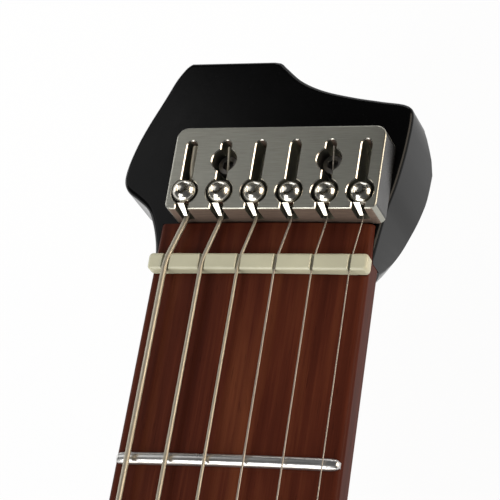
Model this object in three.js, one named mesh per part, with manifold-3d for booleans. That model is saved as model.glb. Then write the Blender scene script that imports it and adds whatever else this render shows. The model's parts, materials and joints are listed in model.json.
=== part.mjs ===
// A headless electric guitar, lying on its flat back. Millimetres, +Z out of the front,
// +Y towards the head end, +X towards the thin strings. The origin is on the flat back.
import * as THREE from "three";
import { mergeVertices } from "three/addons/utils/BufferGeometryUtils.js";
import Module from "manifold-3d";

const wasm = await Module();
wasm.setup();

// General fits
const seatGap = 0.3;
const overrun = 4;
const weldDistance = 0.001;

// Scale length, and the places along it
const scaleLength = 648;
const saddleY = -120;
const nutFrontY = saddleY + scaleLength;
const fretCount = 24;
const octaveFrets = 12;

// Body
const bodyThickness = 42;
const bodyLength = 365;
const bodyTailY = -200;
const bodyHalfWidth = 158;
const bodyEdgeRound = 6;
const bodyOutlineSteps = 70;
const bodyOutlineShares = [
  [0.0, 0.0],
  [0.32, 0.002],
  [0.6, 0.03],
  [0.86, 0.12],
  [0.965, 0.26],
  [0.9, 0.4],
  [0.775, 0.52],
  [0.715, 0.62],
  [0.745, 0.74],
  [0.765, 0.85],
  [0.7, 0.9],
  [0.58, 0.862],
  [0.42, 0.8],
  [0.24, 0.792],
  [0.0, 0.8],
  [-0.24, 0.808],
  [-0.4, 0.835],
  [-0.55, 0.905],
  [-0.69, 0.985],
  [-0.785, 0.99],
  [-0.83, 0.92],
  [-0.8, 0.8],
  [-0.755, 0.67],
  [-0.775, 0.56],
  [-0.9, 0.43],
  [-1.0, 0.28],
  [-0.92, 0.13],
  [-0.64, 0.03],
  [-0.32, 0.002],
];
const forearmDepth = 15;
const forearmWidth = 74;
const forearmY = -70;
const forearmTurn = 0.42;
const forearmLength = 330;
const bellyDepth = 13;
const bellyWidth = 62;
const bellyEdgeInset = 38;
const bellyY = 8;
const bellyRadius = 130;
const bellyTurn = 0.12;
const bellySteps = 56;

// Tail cut-out round the tuning knobs
const tailCutHalfWidth = 40;
const tailCutFrontY = -178.5;
const tailCutCorner = 8;

// Fretboard
const boardThickness = 6;
const boardTop = 52;
const boardRadius = 400;
const boardHalfWidthAtNut = 20.95;
const boardHalfWidthAtHeel = 28;
const boardHeelY = 34;
const boardPastNut = 10.3;
const boardArcSteps = 3;
const fretWidth = 2.4;
const fretHeight = 1.1;
const fretRound = 0.5;
const fretTang = 3.2;
const fretInset = 0.3;

// Neck: a rounded back under the board, square where it sits in the body
const neckCentreDrop = 1;
const neckDepthAtNut = 20;
const neckDepthAtOctave = 21.8;
const neckHeelDepth = 25.7;
const neckPastNut = 2.8;
const neckSectionPoints = 13;
const neckBackPower = 2;
const neckHeelPower = 9;
const pocketDepth = 16;
const pocketMouthY = 95;
const pocketSide = 0.4;
const heelRampLength = 30;

// Truss rod in a channel under the board
const trussWidth = 6;
const trussHeight = 9;
const trussHeelY = 44;
const trussFromNut = 16;
const trussCorner = 1.5;

// Neck screws, driven from the back through the body into the heel
const neckScrewX = 18;
const neckScrewNearY = 48;
const neckScrewFarY = 82;
const neckScrewHeadRadius = 4.4;
const neckScrewHeadHeight = 2.6;
const neckScrewShankRadius = 2.1;
const neckScrewDepth = 38;
const neckScrewRecess = 4;
const neckScrewSink = 0.8;

// Head block, in sizes measured from the front face of the nut
const headFromNut = 3.1;
const headLength = 41.9;
const headHalfWidth = 30.8;
const headShiftX = 0.6;
const headTopDrop = 1.5;
const headUndersideDrop = 18.3;
const headStepClear = 0.35;
const headOutlineShares = [
  [0.661, 0.0],
  [0.705, 0.246],
  [0.744, 0.379],
  [0.779, 0.58],
  [0.782, 0.728],
  [0.747, 0.752],
  [0.571, 0.773],
  [0.393, 0.792],
  [0.179, 0.831],
  [0.036, 0.883],
  [-0.078, 0.969],
  [-0.117, 0.995],
  [-0.679, 1.0],
  [-0.75, 0.938],
  [-0.812, 0.821],
  [-0.916, 0.609],
  [-0.987, 0.458],
  [-1.0, 0.394],
  [-0.968, 0.353],
  [-0.873, 0.308],
  [-0.779, 0.272],
  [-0.737, 0.193],
  [-0.7, 0.0],
];
// Underside of the head: length share, then depth as a share of the underside drop
const headUndersideShares = [
  [0.0, 1.095],
  [0.26, 1.045],
  [0.52, 1.0],
  [0.61, 0.985],
  [0.66, 0.87],
  [0.73, 0.6],
  [1.0, 0.5],
];
// Flare from the neck's round back to the square head: length share, half-width share, power
const headFlareShares = [
  [0.0, 0.695, 2],
  [0.12, 0.735, 3.2],
  [0.26, 0.8, 5],
  [0.41, 1.1, 12],
  [1.0, 1.1, 12],
];

// String lock block on the head
const lockWidth = 41;
const lockLength = 16.8;
const lockHeight = 6.3;
const lockFrontFromNut = 10.6;
const lockCentreX = 2.2;
const lockCorner = 2.2;
const lockEdge = 0.4;
const lockPitch = 6.82;
const lockSlotWidth = 2;
const lockSlotFloor = 2;
const lockSlotRearWall = 2.8;
const lockPocketRadius = 2.6;
const lockPocketBack = 3.6;
const lockNotchWidth = 2.5;
const lockScrewBack = 10;
const lockScrewHoleRadius = 2.4;
const lockScrewHeadRadius = 2;
const lockScrewHeadHeight = 2;
const lockScrewFloor = 1.7;
const lockScrewShankRadius = 1.3;
const lockScrewLength = 11;
const clampRadius = 2.05;
const clampLength = 4.25;
const clampDome = clampRadius;
const hexSocketRadius = 1.05;
const hexSocketDepth = 1.5;

// Nut
const nutLength = 42.1;
const nutThickness = 3.3;
const nutHeight = 4.8;
const nutAboveBoard = 1.9;
const nutEdge = 0.35;
const nutCorner = 0.9;

// Strings, thinnest first
const stringCount = 6;
const stringDiameters = [0.25, 0.33, 0.43, 0.66, 0.91, 1.17];
const stringArcSteps = 3;
const nutSpan = 35.65;
const nutSpanShift = 0.26;
const bridgeSpan = 52.5;
const stringLiftAtNut = 1.2;
const nutSlotClear = 0.35;
const stringHeightAtBridge = 4;
const stringEndInCarriage = 5.5;

// Bridge: a tray with a rear block that carries the tuner rods
const bridgePlate = 3;
const bridgeFrontY = -102;
const bridgeRearY = -176;
const bridgeWall = 3.6;
const bridgeWallHeight = 7;
const bridgeBlockLength = 14;
const bridgeBlockHeight = 9.6;
const bridgeCorner = 3;
const bridgeEdge = 0.5;
const rodHeight = 5;
const rodRadius = 1.5;
const rodBoreRadius = 1.9;

// Tuner carriages and thumb nuts
const carriageWidth = 9.2;
const carriageLength = 14;
const carriageHeight = 9;
const carriageFrontY = -138;
const carriageSlotWidth = 2.4;
const carriageSlotFloor = 4;
const carriageSlotRearWall = 3;
const rodLength = 32;
const knobLength = 14;
const knobRadius = 4.5;
const knobFlute = 0.35;
const knobFlutes = 9;
const knobEdge = 0.6;

// Saddles
const saddleWidth = 9.2;
const saddleLength = 22.5;
const saddleRearReach = 7;
const saddleFootHeight = 3;
const saddleFootLength = 9.2;
const saddleCrest = 1.8;
const saddleTravel = 2.5;
const saddleScrewRadius = 1.4;
const saddleScrewSlot = 4.8;
const saddleCompensationShares = [0.1, 0.35, 0.6, 0.3, 0.6, 1.0];
const saddleCompensation = 3;

// Pickups in cavities in the front of the body
const pickupLength = 70;
const pickupWidth = 37;
const pickupHeight = 24;
const pickupCorner = 4;
const pickupEdge = 1;
const pickupTopAboveBody = 8;
const pickupClearance = 0.5;
const bridgePickupY = -78;
const neckPickupY = 13;
const poleSpan = 51;
const poleRadius = 2.4;
const poleHeight = 0.5;

// Control cavity, covered from the back
const cavityFromEdge = 70;
const cavityY = -92;
const cavityWidth = 56;
const cavityLength = 100;
const cavityCorner = 14;
const cavityRoof = 6;
const coverThickness = 2.2;
const coverLip = 5;

// Potentiometers and their knobs
const potRadius = 12;
const potHeight = 8;
const bushingRadius = 3.8;
const bushingHeight = 4.5;
const potNutRadius = 5.4;
const potNutHeight = 1.6;
const shaftRadius = 2.6;
const shaftBoreRadius = 3;
const shaftLength = 24;
const dialRadius = 9;
const dialHeight = 15;
const dialTop = 1.8;
const dialFlutes = 14;
const dialFlute = 0.35;
const dialLift = 0.6;
const volumeFromEdge = 78;
const volumeY = -82;
const toneFromEdge = 66;
const toneY = -120;

// Selector switch
const selectorFromEdge = 60;
const selectorY = -57;
const selectorCaseLength = 22;
const selectorCaseWidth = 16;
const selectorCaseHeight = 15;
const selectorBushRadius = 5.8;
const selectorBushHeight = 4.5;
const selectorBoreRadius = 4.1;
const selectorBallRadius = 2.6;
const selectorPivotDrop = 3.5;
const leverRadius = 1.5;
const leverLength = 19;
const leverTipRadius = 2.8;
const leverTipLength = 7;

// Output jack in the treble side
const jackY = -100;
const jackFlangeRadius = 8;
const jackFlange = 2;
const jackBarrelRadius = 5.4;
const jackBarrelLength = 34;
const jackSocketRadius = 3.3;
const jackSocketDepth = 27;
const jackSink = 1.5;

// Strap buttons
const strapShankRadius = 1.8;
const strapShankLength = 18;
const strapHeadRadius = 7;
const strapWaistRadius = 4;
const strapHeight = 11;
const strapHornShare = 0.594;
const strapTailShare = 0.94;

// Worked-out places
const boardBottom = boardTop - boardThickness;
const headStartY = nutFrontY + headFromNut;
const headTop = boardTop - headTopDrop;
const lockFrontY = nutFrontY + lockFrontFromNut;
const lockBottom = headTop + seatGap;
const lockTop = lockBottom + lockHeight;
const lockFloor = lockBottom + lockSlotFloor;
const bodyHeadY = bodyTailY + bodyLength;
const pocketFloor = bodyThickness - pocketDepth;
const trussHeadY = nutFrontY - trussFromNut;
const bellyEdgeX = bellyEdgeInset - bodyHalfWidth;
const cavityX = bodyHalfWidth - cavityFromEdge;
const volumeX = bodyHalfWidth - volumeFromEdge;
const toneX = bodyHalfWidth - toneFromEdge;
const selectorX = bodyHalfWidth - selectorFromEdge;
const bridgeBottom = bodyThickness + seatGap;
const bridgeFloor = bridgeBottom + bridgePlate;
const rodZ = bridgeFloor + rodHeight;
const stringTopZ = boardTop + stringHeightAtBridge;

const finishes = {
  black: { color: 0x101010, roughness: 0.35, metalness: 0 },
  wood: { color: 0x5a2c1c, roughness: 0.5, metalness: 0 },
  steel: { color: 0x8f8c82, roughness: 0.35, metalness: 1 },
  polished: { color: 0xc8c8c8, roughness: 0.12, metalness: 1 },
  wire: { color: 0xa9a08c, roughness: 0.3, metalness: 1 },
  bone: { color: 0xc6c0a4, roughness: 0.5, metalness: 0 },
  plastic: { color: 0x161616, roughness: 0.45, metalness: 0 },
};

// Turns a closed geometry into a solid that can be cut and joined.
function solidOf(geometry) {
  const bare = geometry.clone();
  bare.deleteAttribute("normal");
  bare.deleteAttribute("uv");
  const merged = mergeVertices(bare, weldDistance);
  const mesh = new wasm.Mesh({
    numProp: 3,
    vertProperties: merged.attributes.position.array,
    triVerts: new Uint32Array(merged.index.array),
  });
  return new wasm.Manifold(mesh);
}

// Turns a solid back into a geometry.
function geometryOf(solid) {
  const mesh = solid.getMesh();
  const geometry = new THREE.BufferGeometry();
  geometry.setAttribute("position", new THREE.BufferAttribute(mesh.vertProperties, 3));
  geometry.setIndex(new THREE.BufferAttribute(mesh.triVerts, 1));
  geometry.computeVertexNormals();
  return geometry;
}

function cut(base, tools) {
  return tools.reduce((left, tool) => left.subtract(tool), base);
}

function join(pieces) {
  return pieces.reduce((whole, piece) => whole.add(piece));
}

// A box between two corners.
function box(low, high) {
  const size = high.map((value, axis) => value - low[axis]);
  const centre = high.map((value, axis) => (value + low[axis]) / 2);
  return solidOf(new THREE.BoxGeometry(...size).translate(...centre));
}

// An upright cylinder between two heights.
function post(radius, bottom, top, x = 0, y = 0, sides = 14) {
  const geometry = new THREE.CylinderGeometry(radius, radius, top - bottom, sides);
  return solidOf(geometry.rotateX(Math.PI / 2).translate(x, y, (top + bottom) / 2));
}

// A cylinder along Y between two places.
function bar(radius, start, end, x, z, sides = 16) {
  const geometry = new THREE.CylinderGeometry(radius, radius, end - start, sides);
  return solidOf(geometry.translate(x, (start + end) / 2, z));
}

// A turned piece: rows of radius and height, from the axis at the bottom to the axis at the top.
function turned(rows, sides = 14) {
  const profile = rows.map(([radius, height]) => new THREE.Vector2(radius, height));
  return solidOf(new THREE.LatheGeometry(profile, sides).rotateX(Math.PI / 2));
}

function roundedRectangle(width, length, corner) {
  const x = width / 2;
  const y = length / 2;
  const shape = new THREE.Shape();
  shape.moveTo(-x + corner, -y);
  shape.lineTo(x - corner, -y);
  shape.absarc(x - corner, -y + corner, corner, -Math.PI / 2, 0);
  shape.lineTo(x, y - corner);
  shape.absarc(x - corner, y - corner, corner, 0, Math.PI / 2);
  shape.lineTo(-x + corner, y);
  shape.absarc(-x + corner, y - corner, corner, Math.PI / 2, Math.PI);
  shape.lineTo(-x, -y + corner);
  shape.absarc(-x + corner, -y + corner, corner, Math.PI, 1.5 * Math.PI);
  return shape;
}

function outline(points) {
  return new THREE.Shape(points.map(([x, y]) => new THREE.Vector2(x, y)));
}

// A flat shape raised from one height to another, with its edges rounded by `edge`.
function plate(shape, bottom, top, edge = 0, curveSegments = 3, edgeSteps = 1) {
  const options = {
    depth: top - bottom - 2 * edge,
    bevelEnabled: edge > 0,
    bevelThickness: edge,
    bevelSize: edge,
    bevelOffset: -edge,
    bevelSegments: edgeSteps,
    curveSegments,
  };
  return solidOf(new THREE.ExtrudeGeometry(shape, options).translate(0, 0, bottom + edge));
}

// A profile in Y and Z, drawn out along X between two places.
function across(points, left, right) {
  const geometry = new THREE.ExtrudeGeometry(outline(points), { depth: right - left, bevelEnabled: false });
  geometry.rotateY(Math.PI / 2);
  geometry.rotateX(Math.PI / 2);
  return solidOf(geometry.translate(left, 0, 0));
}

// A closed skin over sections along Y that all have the same number of points.
function loft(sections) {
  const count = sections[0].length;
  const last = (sections.length - 1) * count;
  const index = [];
  for (let s = 0; s < sections.length - 1; s++) {
    for (let i = 0; i < count; i++) {
      const a = s * count + i;
      const b = s * count + ((i + 1) % count);
      index.push(a, b, a + count, b, b + count, a + count);
    }
  }
  for (let i = 1; i < count - 1; i++) {
    index.push(0, i + 1, i);
    index.push(last, last + i, last + i + 1);
  }
  const geometry = new THREE.BufferGeometry();
  const values = sections.flat().flatMap((point) => point.toArray());
  geometry.setAttribute("position", new THREE.Float32BufferAttribute(values, 3));
  geometry.setIndex(index);
  return solidOf(geometry);
}

// One section of the neck's back: a rounded curve whose power squares it up.
function backSection(y, halfWidth, depth, power, top) {
  const centre = boardTop - neckCentreDrop;
  const reach = depth - neckCentreDrop;
  const start = Math.asin(((centre - top) / reach) ** (power / 2));
  return Array.from({ length: neckSectionPoints }, (_, i) => {
    const angle = start + ((Math.PI - 2 * start) * i) / (neckSectionPoints - 1);
    const side = Math.sign(Math.cos(angle)) * Math.abs(Math.cos(angle)) ** (2 / power);
    const drop = Math.sin(angle) ** (2 / power);
    return new THREE.Vector3(halfWidth * side, y, centre - reach * drop);
  });
}

// Half the width of the fretboard at a place along the neck.
function boardHalfWidth(y) {
  const share = (nutFrontY - y) / (nutFrontY - boardHeelY);
  return boardHalfWidthAtNut + (boardHalfWidthAtHeel - boardHalfWidthAtNut) * share;
}

function fretY(number) {
  return nutFrontY - scaleLength * (1 - 2 ** (-number / octaveFrets));
}

// Rows of places for one string, counted from the thin side.
const strings = stringDiameters.map((diameter, i) => {
  const along = i / (stringCount - 1) - 1 / 2;
  const radius = diameter / 2;
  return {
    radius,
    bridgeX: -bridgeSpan * along,
    nutX: -nutSpan * along + nutSpanShift,
    lockX: lockCentreX - lockPitch * (stringCount - 1) * along,
    nutZ: boardTop + stringLiftAtNut + radius,
    lockZ: lockFloor + seatGap + radius,
    restY: saddleY - saddleCompensation * saddleCompensationShares[i],
  };
});

// Body

const bodyCurve = new THREE.CatmullRomCurve3(
  bodyOutlineShares.map(
    ([x, y]) => new THREE.Vector3(x * bodyHalfWidth, bodyTailY + y * bodyLength, 0),
  ),
  true,
  "centripetal",
);

// A place on the body's edge with the direction that points away from the body.
function onEdge(share) {
  const point = bodyCurve.getPointAt(share);
  const tangent = bodyCurve.getTangentAt(share);
  return { point, away: new THREE.Vector3(tangent.y, -tangent.x, 0).normalize() };
}

function pocketOutline(clearance, end) {
  return outline([
    [-boardHalfWidthAtHeel - clearance, boardHeelY - clearance],
    [boardHalfWidthAtHeel + clearance, boardHeelY - clearance],
    [boardHalfWidth(end) + clearance, end],
    [-boardHalfWidth(end) - clearance, end],
  ]);
}

// A slab over the front that slopes down towards the bass side, where the forearm rests.
function forearmSlab() {
  const slope = Math.atan2(forearmDepth, forearmWidth);
  const reach = forearmWidth / Math.cos(slope) + overrun;
  const slab = new THREE.BoxGeometry(2 * reach, forearmLength, bodyThickness);
  slab.translate(-reach, 0, bodyThickness / 2);
  slab.rotateY(-slope);
  slab.translate(forearmWidth - bodyHalfWidth, 0, bodyThickness);
  return solidOf(slab.rotateZ(forearmTurn).translate(0, forearmY, 0));
}

// A wide round scoop that rises towards the bass edge of the back, for the player's ribs.
function bellyScoop() {
  const slope = Math.atan2(bellyDepth, bellyWidth);
  const length = 2 * bellyWidth + 2 * bellyRadius * Math.sin(slope);
  const scoop = new THREE.CylinderGeometry(bellyRadius, bellyRadius, length, bellySteps);
  scoop.rotateZ(Math.PI / 2).translate(0, 0, -bellyRadius);
  scoop.rotateY(slope);
  scoop.translate(0, 0, bellyDepth).rotateZ(bellyTurn);
  return solidOf(scoop.translate(bellyEdgeX, bellyY, 0));
}

function placeAlong(geometry, place, sink) {
  const turn = new THREE.Quaternion().setFromUnitVectors(new THREE.Vector3(0, 0, 1), place.away);
  geometry.applyQuaternion(turn);
  const seat = place.point.clone().addScaledVector(place.away, -sink);
  return geometry.translate(seat.x, seat.y, bodyThickness / 2);
}

const strapPlaces = [onEdge(strapHornShare), onEdge(strapTailShare)];
const jackX = onEdgeAt(jackY).x;

// Where the treble side of the body's edge crosses a place along the body.
function onEdgeAt(y) {
  const points = bodyCurve.getSpacedPoints(8 * bodyOutlineSteps);
  const side = points.filter((point) => point.x > bodyHalfWidth / 2 && point.y < 0);
  return side.reduce((best, point) => (Math.abs(point.y - y) < Math.abs(best.y - y) ? point : best));
}

function makeBody() {
  const points = bodyCurve.getSpacedPoints(bodyOutlineSteps).slice(0, -1);
  const shape = new THREE.Shape(points.map((point) => new THREE.Vector2(point.x, point.y)));
  const top = bodyThickness + overrun;
  const tailShape = roundedRectangle(2 * tailCutHalfWidth, 2 * (tailCutFrontY - bodyTailY), tailCutCorner);
  const pickupHole = roundedRectangle(
    pickupLength + 2 * pickupClearance,
    pickupWidth + 2 * pickupClearance,
    pickupCorner + pickupClearance,
  );
  const cavity = roundedRectangle(cavityWidth, cavityLength, cavityCorner);
  const coverHole = roundedRectangle(
    cavityWidth + 2 * coverLip + 2 * seatGap,
    cavityLength + 2 * coverLip + 2 * seatGap,
    cavityCorner + coverLip + seatGap,
  );
  const pickupFloor = bodyThickness + pickupTopAboveBody - pickupHeight - seatGap;
  const tools = [
    forearmSlab(),
    bellyScoop(),
    plate(tailShape, -overrun, top).translate([0, bodyTailY, 0]),
    plate(pocketOutline(pocketSide, bodyHeadY + overrun), pocketFloor, top),
    plate(pickupHole, pickupFloor, top).translate([0, bridgePickupY, 0]),
    plate(pickupHole, pickupFloor, top).translate([0, neckPickupY, 0]),
    plate(cavity, -overrun, bodyThickness - cavityRoof).translate([cavityX, cavityY, 0]),
    plate(coverHole, -overrun, coverThickness + 2 * seatGap).translate([cavityX, cavityY, 0]),
    post(bushingRadius + seatGap, 0, top, volumeX, volumeY),
    post(bushingRadius + seatGap, 0, top, toneX, toneY),
    post(selectorBushRadius + seatGap, 0, top, selectorX, selectorY),
    jackBore(),
  ];
  for (const place of strapPlaces) {
    const hole = new THREE.CylinderGeometry(
      strapShankRadius + seatGap,
      strapShankRadius + seatGap,
      2 * strapShankLength + 2 * seatGap,
      12,
    );
    tools.push(solidOf(placeAlong(hole.rotateX(Math.PI / 2), place, 0)));
  }
  for (const [x, y] of neckScrewPlaces()) {
    tools.push(post(neckScrewShankRadius + seatGap, -overrun, top, x, y, 12));
    tools.push(post(neckScrewHeadRadius + seatGap, -overrun, neckScrewRecess, x, y));
  }
  return cut(plate(shape, 0, bodyThickness, bodyEdgeRound, 3, 2), tools);
}

function neckScrewPlaces() {
  return [
    [neckScrewX, neckScrewNearY],
    [-neckScrewX, neckScrewNearY],
    [neckScrewX, neckScrewFarY],
    [-neckScrewX, neckScrewFarY],
  ];
}

function makeNeckScrew([x, y]) {
  const headTopZ = neckScrewSink + neckScrewHeadHeight;
  const head = turned([
    [0, neckScrewSink],
    [neckScrewHeadRadius - neckScrewSink, neckScrewSink],
    [neckScrewHeadRadius, neckScrewSink * 2],
    [neckScrewHeadRadius, headTopZ],
    [neckScrewShankRadius, headTopZ],
    [neckScrewShankRadius, neckScrewDepth - neckScrewShankRadius],
    [0, neckScrewDepth],
  ]).translate([x, y, 0]);
  return cut(head, [post(hexSocketRadius * 2, 0, headTopZ - neckScrewSink, x, y, 6)]);
}

// Neck, fretboard and truss rod

function makeNeck() {
  const top = boardBottom - seatGap;
  const rampY = pocketMouthY + heelRampLength;
  const section = (y, depth, power) => backSection(y, boardHalfWidth(y), depth, power, top);
  const neck = loft([
    section(boardHeelY, neckHeelDepth, neckHeelPower),
    section(pocketMouthY, neckHeelDepth, neckHeelPower),
    section(pocketMouthY + heelRampLength / 3, neckHeelDepth, (neckHeelPower + neckBackPower) / 2),
    section(rampY, neckDepthAtOctave, neckBackPower),
    section(fretY(octaveFrets), neckDepthAtOctave, neckBackPower),
    section(nutFrontY + neckPastNut, neckDepthAtNut, neckBackPower),
  ]);
  const channel = box(
    [-trussWidth / 2 - seatGap, trussHeelY - seatGap, top - trussHeight - 2 * seatGap],
    [trussWidth / 2 + seatGap, trussHeadY + seatGap, top + overrun],
  );
  const holes = neckScrewPlaces().map(([x, y]) =>
    post(neckScrewShankRadius + seatGap, 0, neckScrewDepth + seatGap, x, y, 12),
  );
  return cut(neck, [channel, ...holes]);
}

function makeTrussRod() {
  const shape = roundedRectangle(trussWidth, trussHeadY - trussHeelY, trussCorner);
  const top = boardBottom - seatGap;
  const middle = (trussHeadY + trussHeelY) / 2;
  return plate(shape, top - trussHeight - seatGap, top - seatGap).translate([0, middle, 0]);
}

// A strip with an arched top, drawn out along Y.
function arched(halfWidth, radius, bottom, start, end, edge = 0) {
  const span = Math.asin(halfWidth / radius);
  const points = Array.from({ length: boardArcSteps + 1 }, (_, i) => {
    const angle = span * (1 - (2 * i) / boardArcSteps);
    return [radius * Math.sin(angle), radius * Math.cos(angle) - radius];
  });
  points.push([-halfWidth, bottom], [halfWidth, bottom]);
  return plate(outline(points), -end, -start, edge).rotate([90, 0, 0]);
}

function makeFretboard() {
  const endY = nutFrontY + boardPastNut;
  const reach = boardHalfWidthAtHeel + overrun;
  const slab = arched(reach, boardRadius, -boardThickness, boardHeelY, endY);
  const plan = outline([
    [-boardHalfWidthAtHeel, boardHeelY],
    [boardHalfWidthAtHeel, boardHeelY],
    [boardHalfWidth(endY), endY],
    [-boardHalfWidth(endY), endY],
  ]);
  const fretPlan = outline([
    [-boardHalfWidthAtHeel + fretInset, boardHeelY],
    [boardHalfWidthAtHeel - fretInset, boardHeelY],
    [boardHalfWidth(endY) - fretInset, endY],
    [-boardHalfWidth(endY) + fretInset, endY],
  ]);
  const frets = Array.from({ length: fretCount }, (_, i) => {
    const y = fretY(i + 1);
    const crown = arched(
      reach,
      boardRadius + fretHeight,
      -fretTang,
      y - fretWidth / 2,
      y + fretWidth / 2,
      fretRound,
    );
    return crown.translate([0, 0, fretHeight]);
  });
  const board = slab.intersect(plate(plan, -2 * boardThickness, boardThickness));
  const crowns = join(frets).intersect(plate(fretPlan, -boardThickness, boardThickness));
  const nutSlot = box(
    [-reach, nutFrontY - seatGap, nutAboveBoard - nutHeight - seatGap],
    [reach, nutFrontY + nutThickness + seatGap, boardThickness],
  );
  return cut(board.add(crowns), [nutSlot]).translate([0, 0, boardTop]);
}

// Head, nut and string lock

function headPoints(shares) {
  return shares.map(([x, y]) => [
    headShiftX + x * headHalfWidth,
    headStartY + y * headLength,
  ]);
}

function makeHead() {
  const bottom = headTop - 2 * headUndersideDrop;
  const plan = plate(outline(headPoints(headOutlineShares)), bottom, headTop);
  const under = headUndersideShares.map(([along, depth]) => [
    headStartY + along * headLength,
    boardTop - depth * headUndersideDrop,
  ]);
  const endY = headStartY + headLength;
  const side = across(
    [[headStartY, headTop], ...under, [endY, headTop]],
    -headHalfWidth - overrun,
    headHalfWidth + overrun,
  );
  const flare = loft(
    headFlareShares.map(([along, wide, power]) =>
      backSection(
        headStartY + along * headLength,
        wide * headHalfWidth,
        headUndersideDrop * headUndersideShares[0][1],
        power,
        headTop + headTopDrop / 3,
      ),
    ),
  );
  const step = box(
    [-2 * headHalfWidth, headStartY - overrun, boardBottom - seatGap],
    [2 * headHalfWidth, nutFrontY + boardPastNut + headStepClear, boardTop + overrun],
  );
  const holes = lockScrewPlaces().map(([x, y]) =>
    post(lockScrewShankRadius + seatGap, lockScrewBottom() - seatGap, boardTop, x, y, 12),
  );
  const shell = plan.intersect(side).intersect(flare.translate([headShiftX, 0, 0]));
  return cut(shell, [step, ...holes]);
}

function lockScrewPlaces() {
  return [1, 4].map((i) => [strings[i].lockX, lockFrontY + lockScrewBack]);
}

function lockScrewBottom() {
  return lockBottom + lockScrewFloor + seatGap - lockScrewLength;
}

function makeLockBlock() {
  const middle = lockFrontY + lockLength / 2;
  const shape = roundedRectangle(lockWidth, lockLength, lockCorner);
  const blank = plate(shape, lockBottom, lockTop, lockEdge).translate([lockCentreX, middle, 0]);
  const top = lockTop + overrun;
  const tools = strings.flatMap(({ lockX }) => {
    const slotEnd = lockFrontY + lockLength - lockSlotRearWall;
    const pocketY = lockFrontY + lockPocketBack;
    return [
      box([lockX - lockSlotWidth / 2, lockFrontY, lockFloor], [lockX + lockSlotWidth / 2, slotEnd, top]),
      box(
        [lockX - lockNotchWidth / 2, lockFrontY - overrun, lockFloor],
        [lockX + lockNotchWidth / 2, pocketY, top],
      ),
      post(lockPocketRadius, lockFloor, top, lockX, pocketY, 14),
    ];
  });
  for (const [x, y] of lockScrewPlaces()) {
    tools.push(post(lockScrewHoleRadius, lockBottom + lockScrewFloor, top, x, y));
    tools.push(post(lockScrewShankRadius + seatGap, 0, top, x, y, 12));
  }
  return cut(blank, tools);
}

function makeLockScrew([x, y]) {
  const floor = lockBottom + lockScrewFloor + seatGap;
  const screw = turned([
    [0, lockScrewBottom()],
    [lockScrewShankRadius, lockScrewBottom()],
    [lockScrewShankRadius, floor],
    [lockScrewHeadRadius, floor],
    [lockScrewHeadRadius, floor + lockScrewHeadHeight],
    [0, floor + lockScrewHeadHeight],
  ]).translate([x, y, 0]);
  const top = floor + lockScrewHeadHeight + overrun;
  return cut(screw, [post(hexSocketRadius, top - overrun - lockScrewHeadHeight / 2, top, x, y, 6)]);
}

// A polished clamp screw with a domed top and a hex socket, at its own origin.
function makeClampScrew() {
  const shoulder = clampLength - clampDome;
  const domeRows = [1, 2, 3].map((step) => {
    const angle = (step * Math.PI) / 8;
    return [clampRadius * Math.cos(angle), shoulder + clampDome * Math.sin(angle)];
  });
  const screw = turned([
    [0, 0],
    [clampRadius - seatGap, 0],
    [clampRadius, seatGap],
    [clampRadius, shoulder],
    ...domeRows,
    [0, clampLength],
  ]);
  return cut(screw, [post(hexSocketRadius, clampLength - hexSocketDepth, clampLength + overrun, 0, 0, 6)]);
}

function makeNut() {
  const shape = roundedRectangle(nutLength, nutThickness, nutCorner);
  const bottom = boardTop + nutAboveBoard - nutHeight;
  const blank = plate(shape, bottom, bottom + nutHeight, nutEdge, 2);
  const middle = nutFrontY + nutThickness / 2;
  const slots = strings.map(({ nutX, nutZ, radius }) =>
    box(
      [nutX - radius - nutSlotClear, nutFrontY - overrun, nutZ - radius - nutSlotClear],
      [nutX + radius + nutSlotClear, nutFrontY + nutThickness + overrun, boardTop + overrun],
    ),
  );
  return cut(blank.translate([0, middle, 0]), slots);
}

// The route of a string, made of straight runs between its bends.
class WireRoute extends THREE.Curve {
  constructor(points) {
    super();
    this.points = points;
  }
  getPointAt(share) {
    return this.points[Math.round(share * (this.points.length - 1))].clone();
  }
  getTangentAt(share) {
    const i = Math.round(share * (this.points.length - 1));
    const before = this.points[Math.max(i - 1, 0)];
    const after = this.points[Math.min(i + 1, this.points.length - 1)];
    return after.clone().sub(before).normalize();
  }
}

function makeString(row, i) {
  const tailCutY = lockScrewPlaces()[0][1] - lockScrewHoleRadius;
  const slotEndY = lockFrontY + lockLength - lockSlotRearWall;
  const crossesScrew = i === 1 || i === 4;
  const endY = (crossesScrew ? tailCutY : slotEndY) - 2 * seatGap;
  const breakY = row.restY - saddleTravel - seatGap;
  const route = new WireRoute([
    new THREE.Vector3(row.bridgeX, carriageFrontY - stringEndInCarriage, rodZ),
    new THREE.Vector3(row.bridgeX, breakY, stringTopZ),
    new THREE.Vector3(row.nutX, nutFrontY + nutThickness / 2, row.nutZ),
    new THREE.Vector3(row.lockX, lockFrontY, row.lockZ),
    new THREE.Vector3(row.lockX, endY, row.lockZ),
  ]);
  const section = new THREE.Shape().absarc(0, 0, row.radius, 0, 2 * Math.PI);
  return solidOf(
    new THREE.ExtrudeGeometry(section, {
      steps: route.points.length - 1,
      curveSegments: stringArcSteps,
      bevelEnabled: false,
      extrudePath: route,
    }),
  );
}

// Bridge, saddles and tuners

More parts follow.
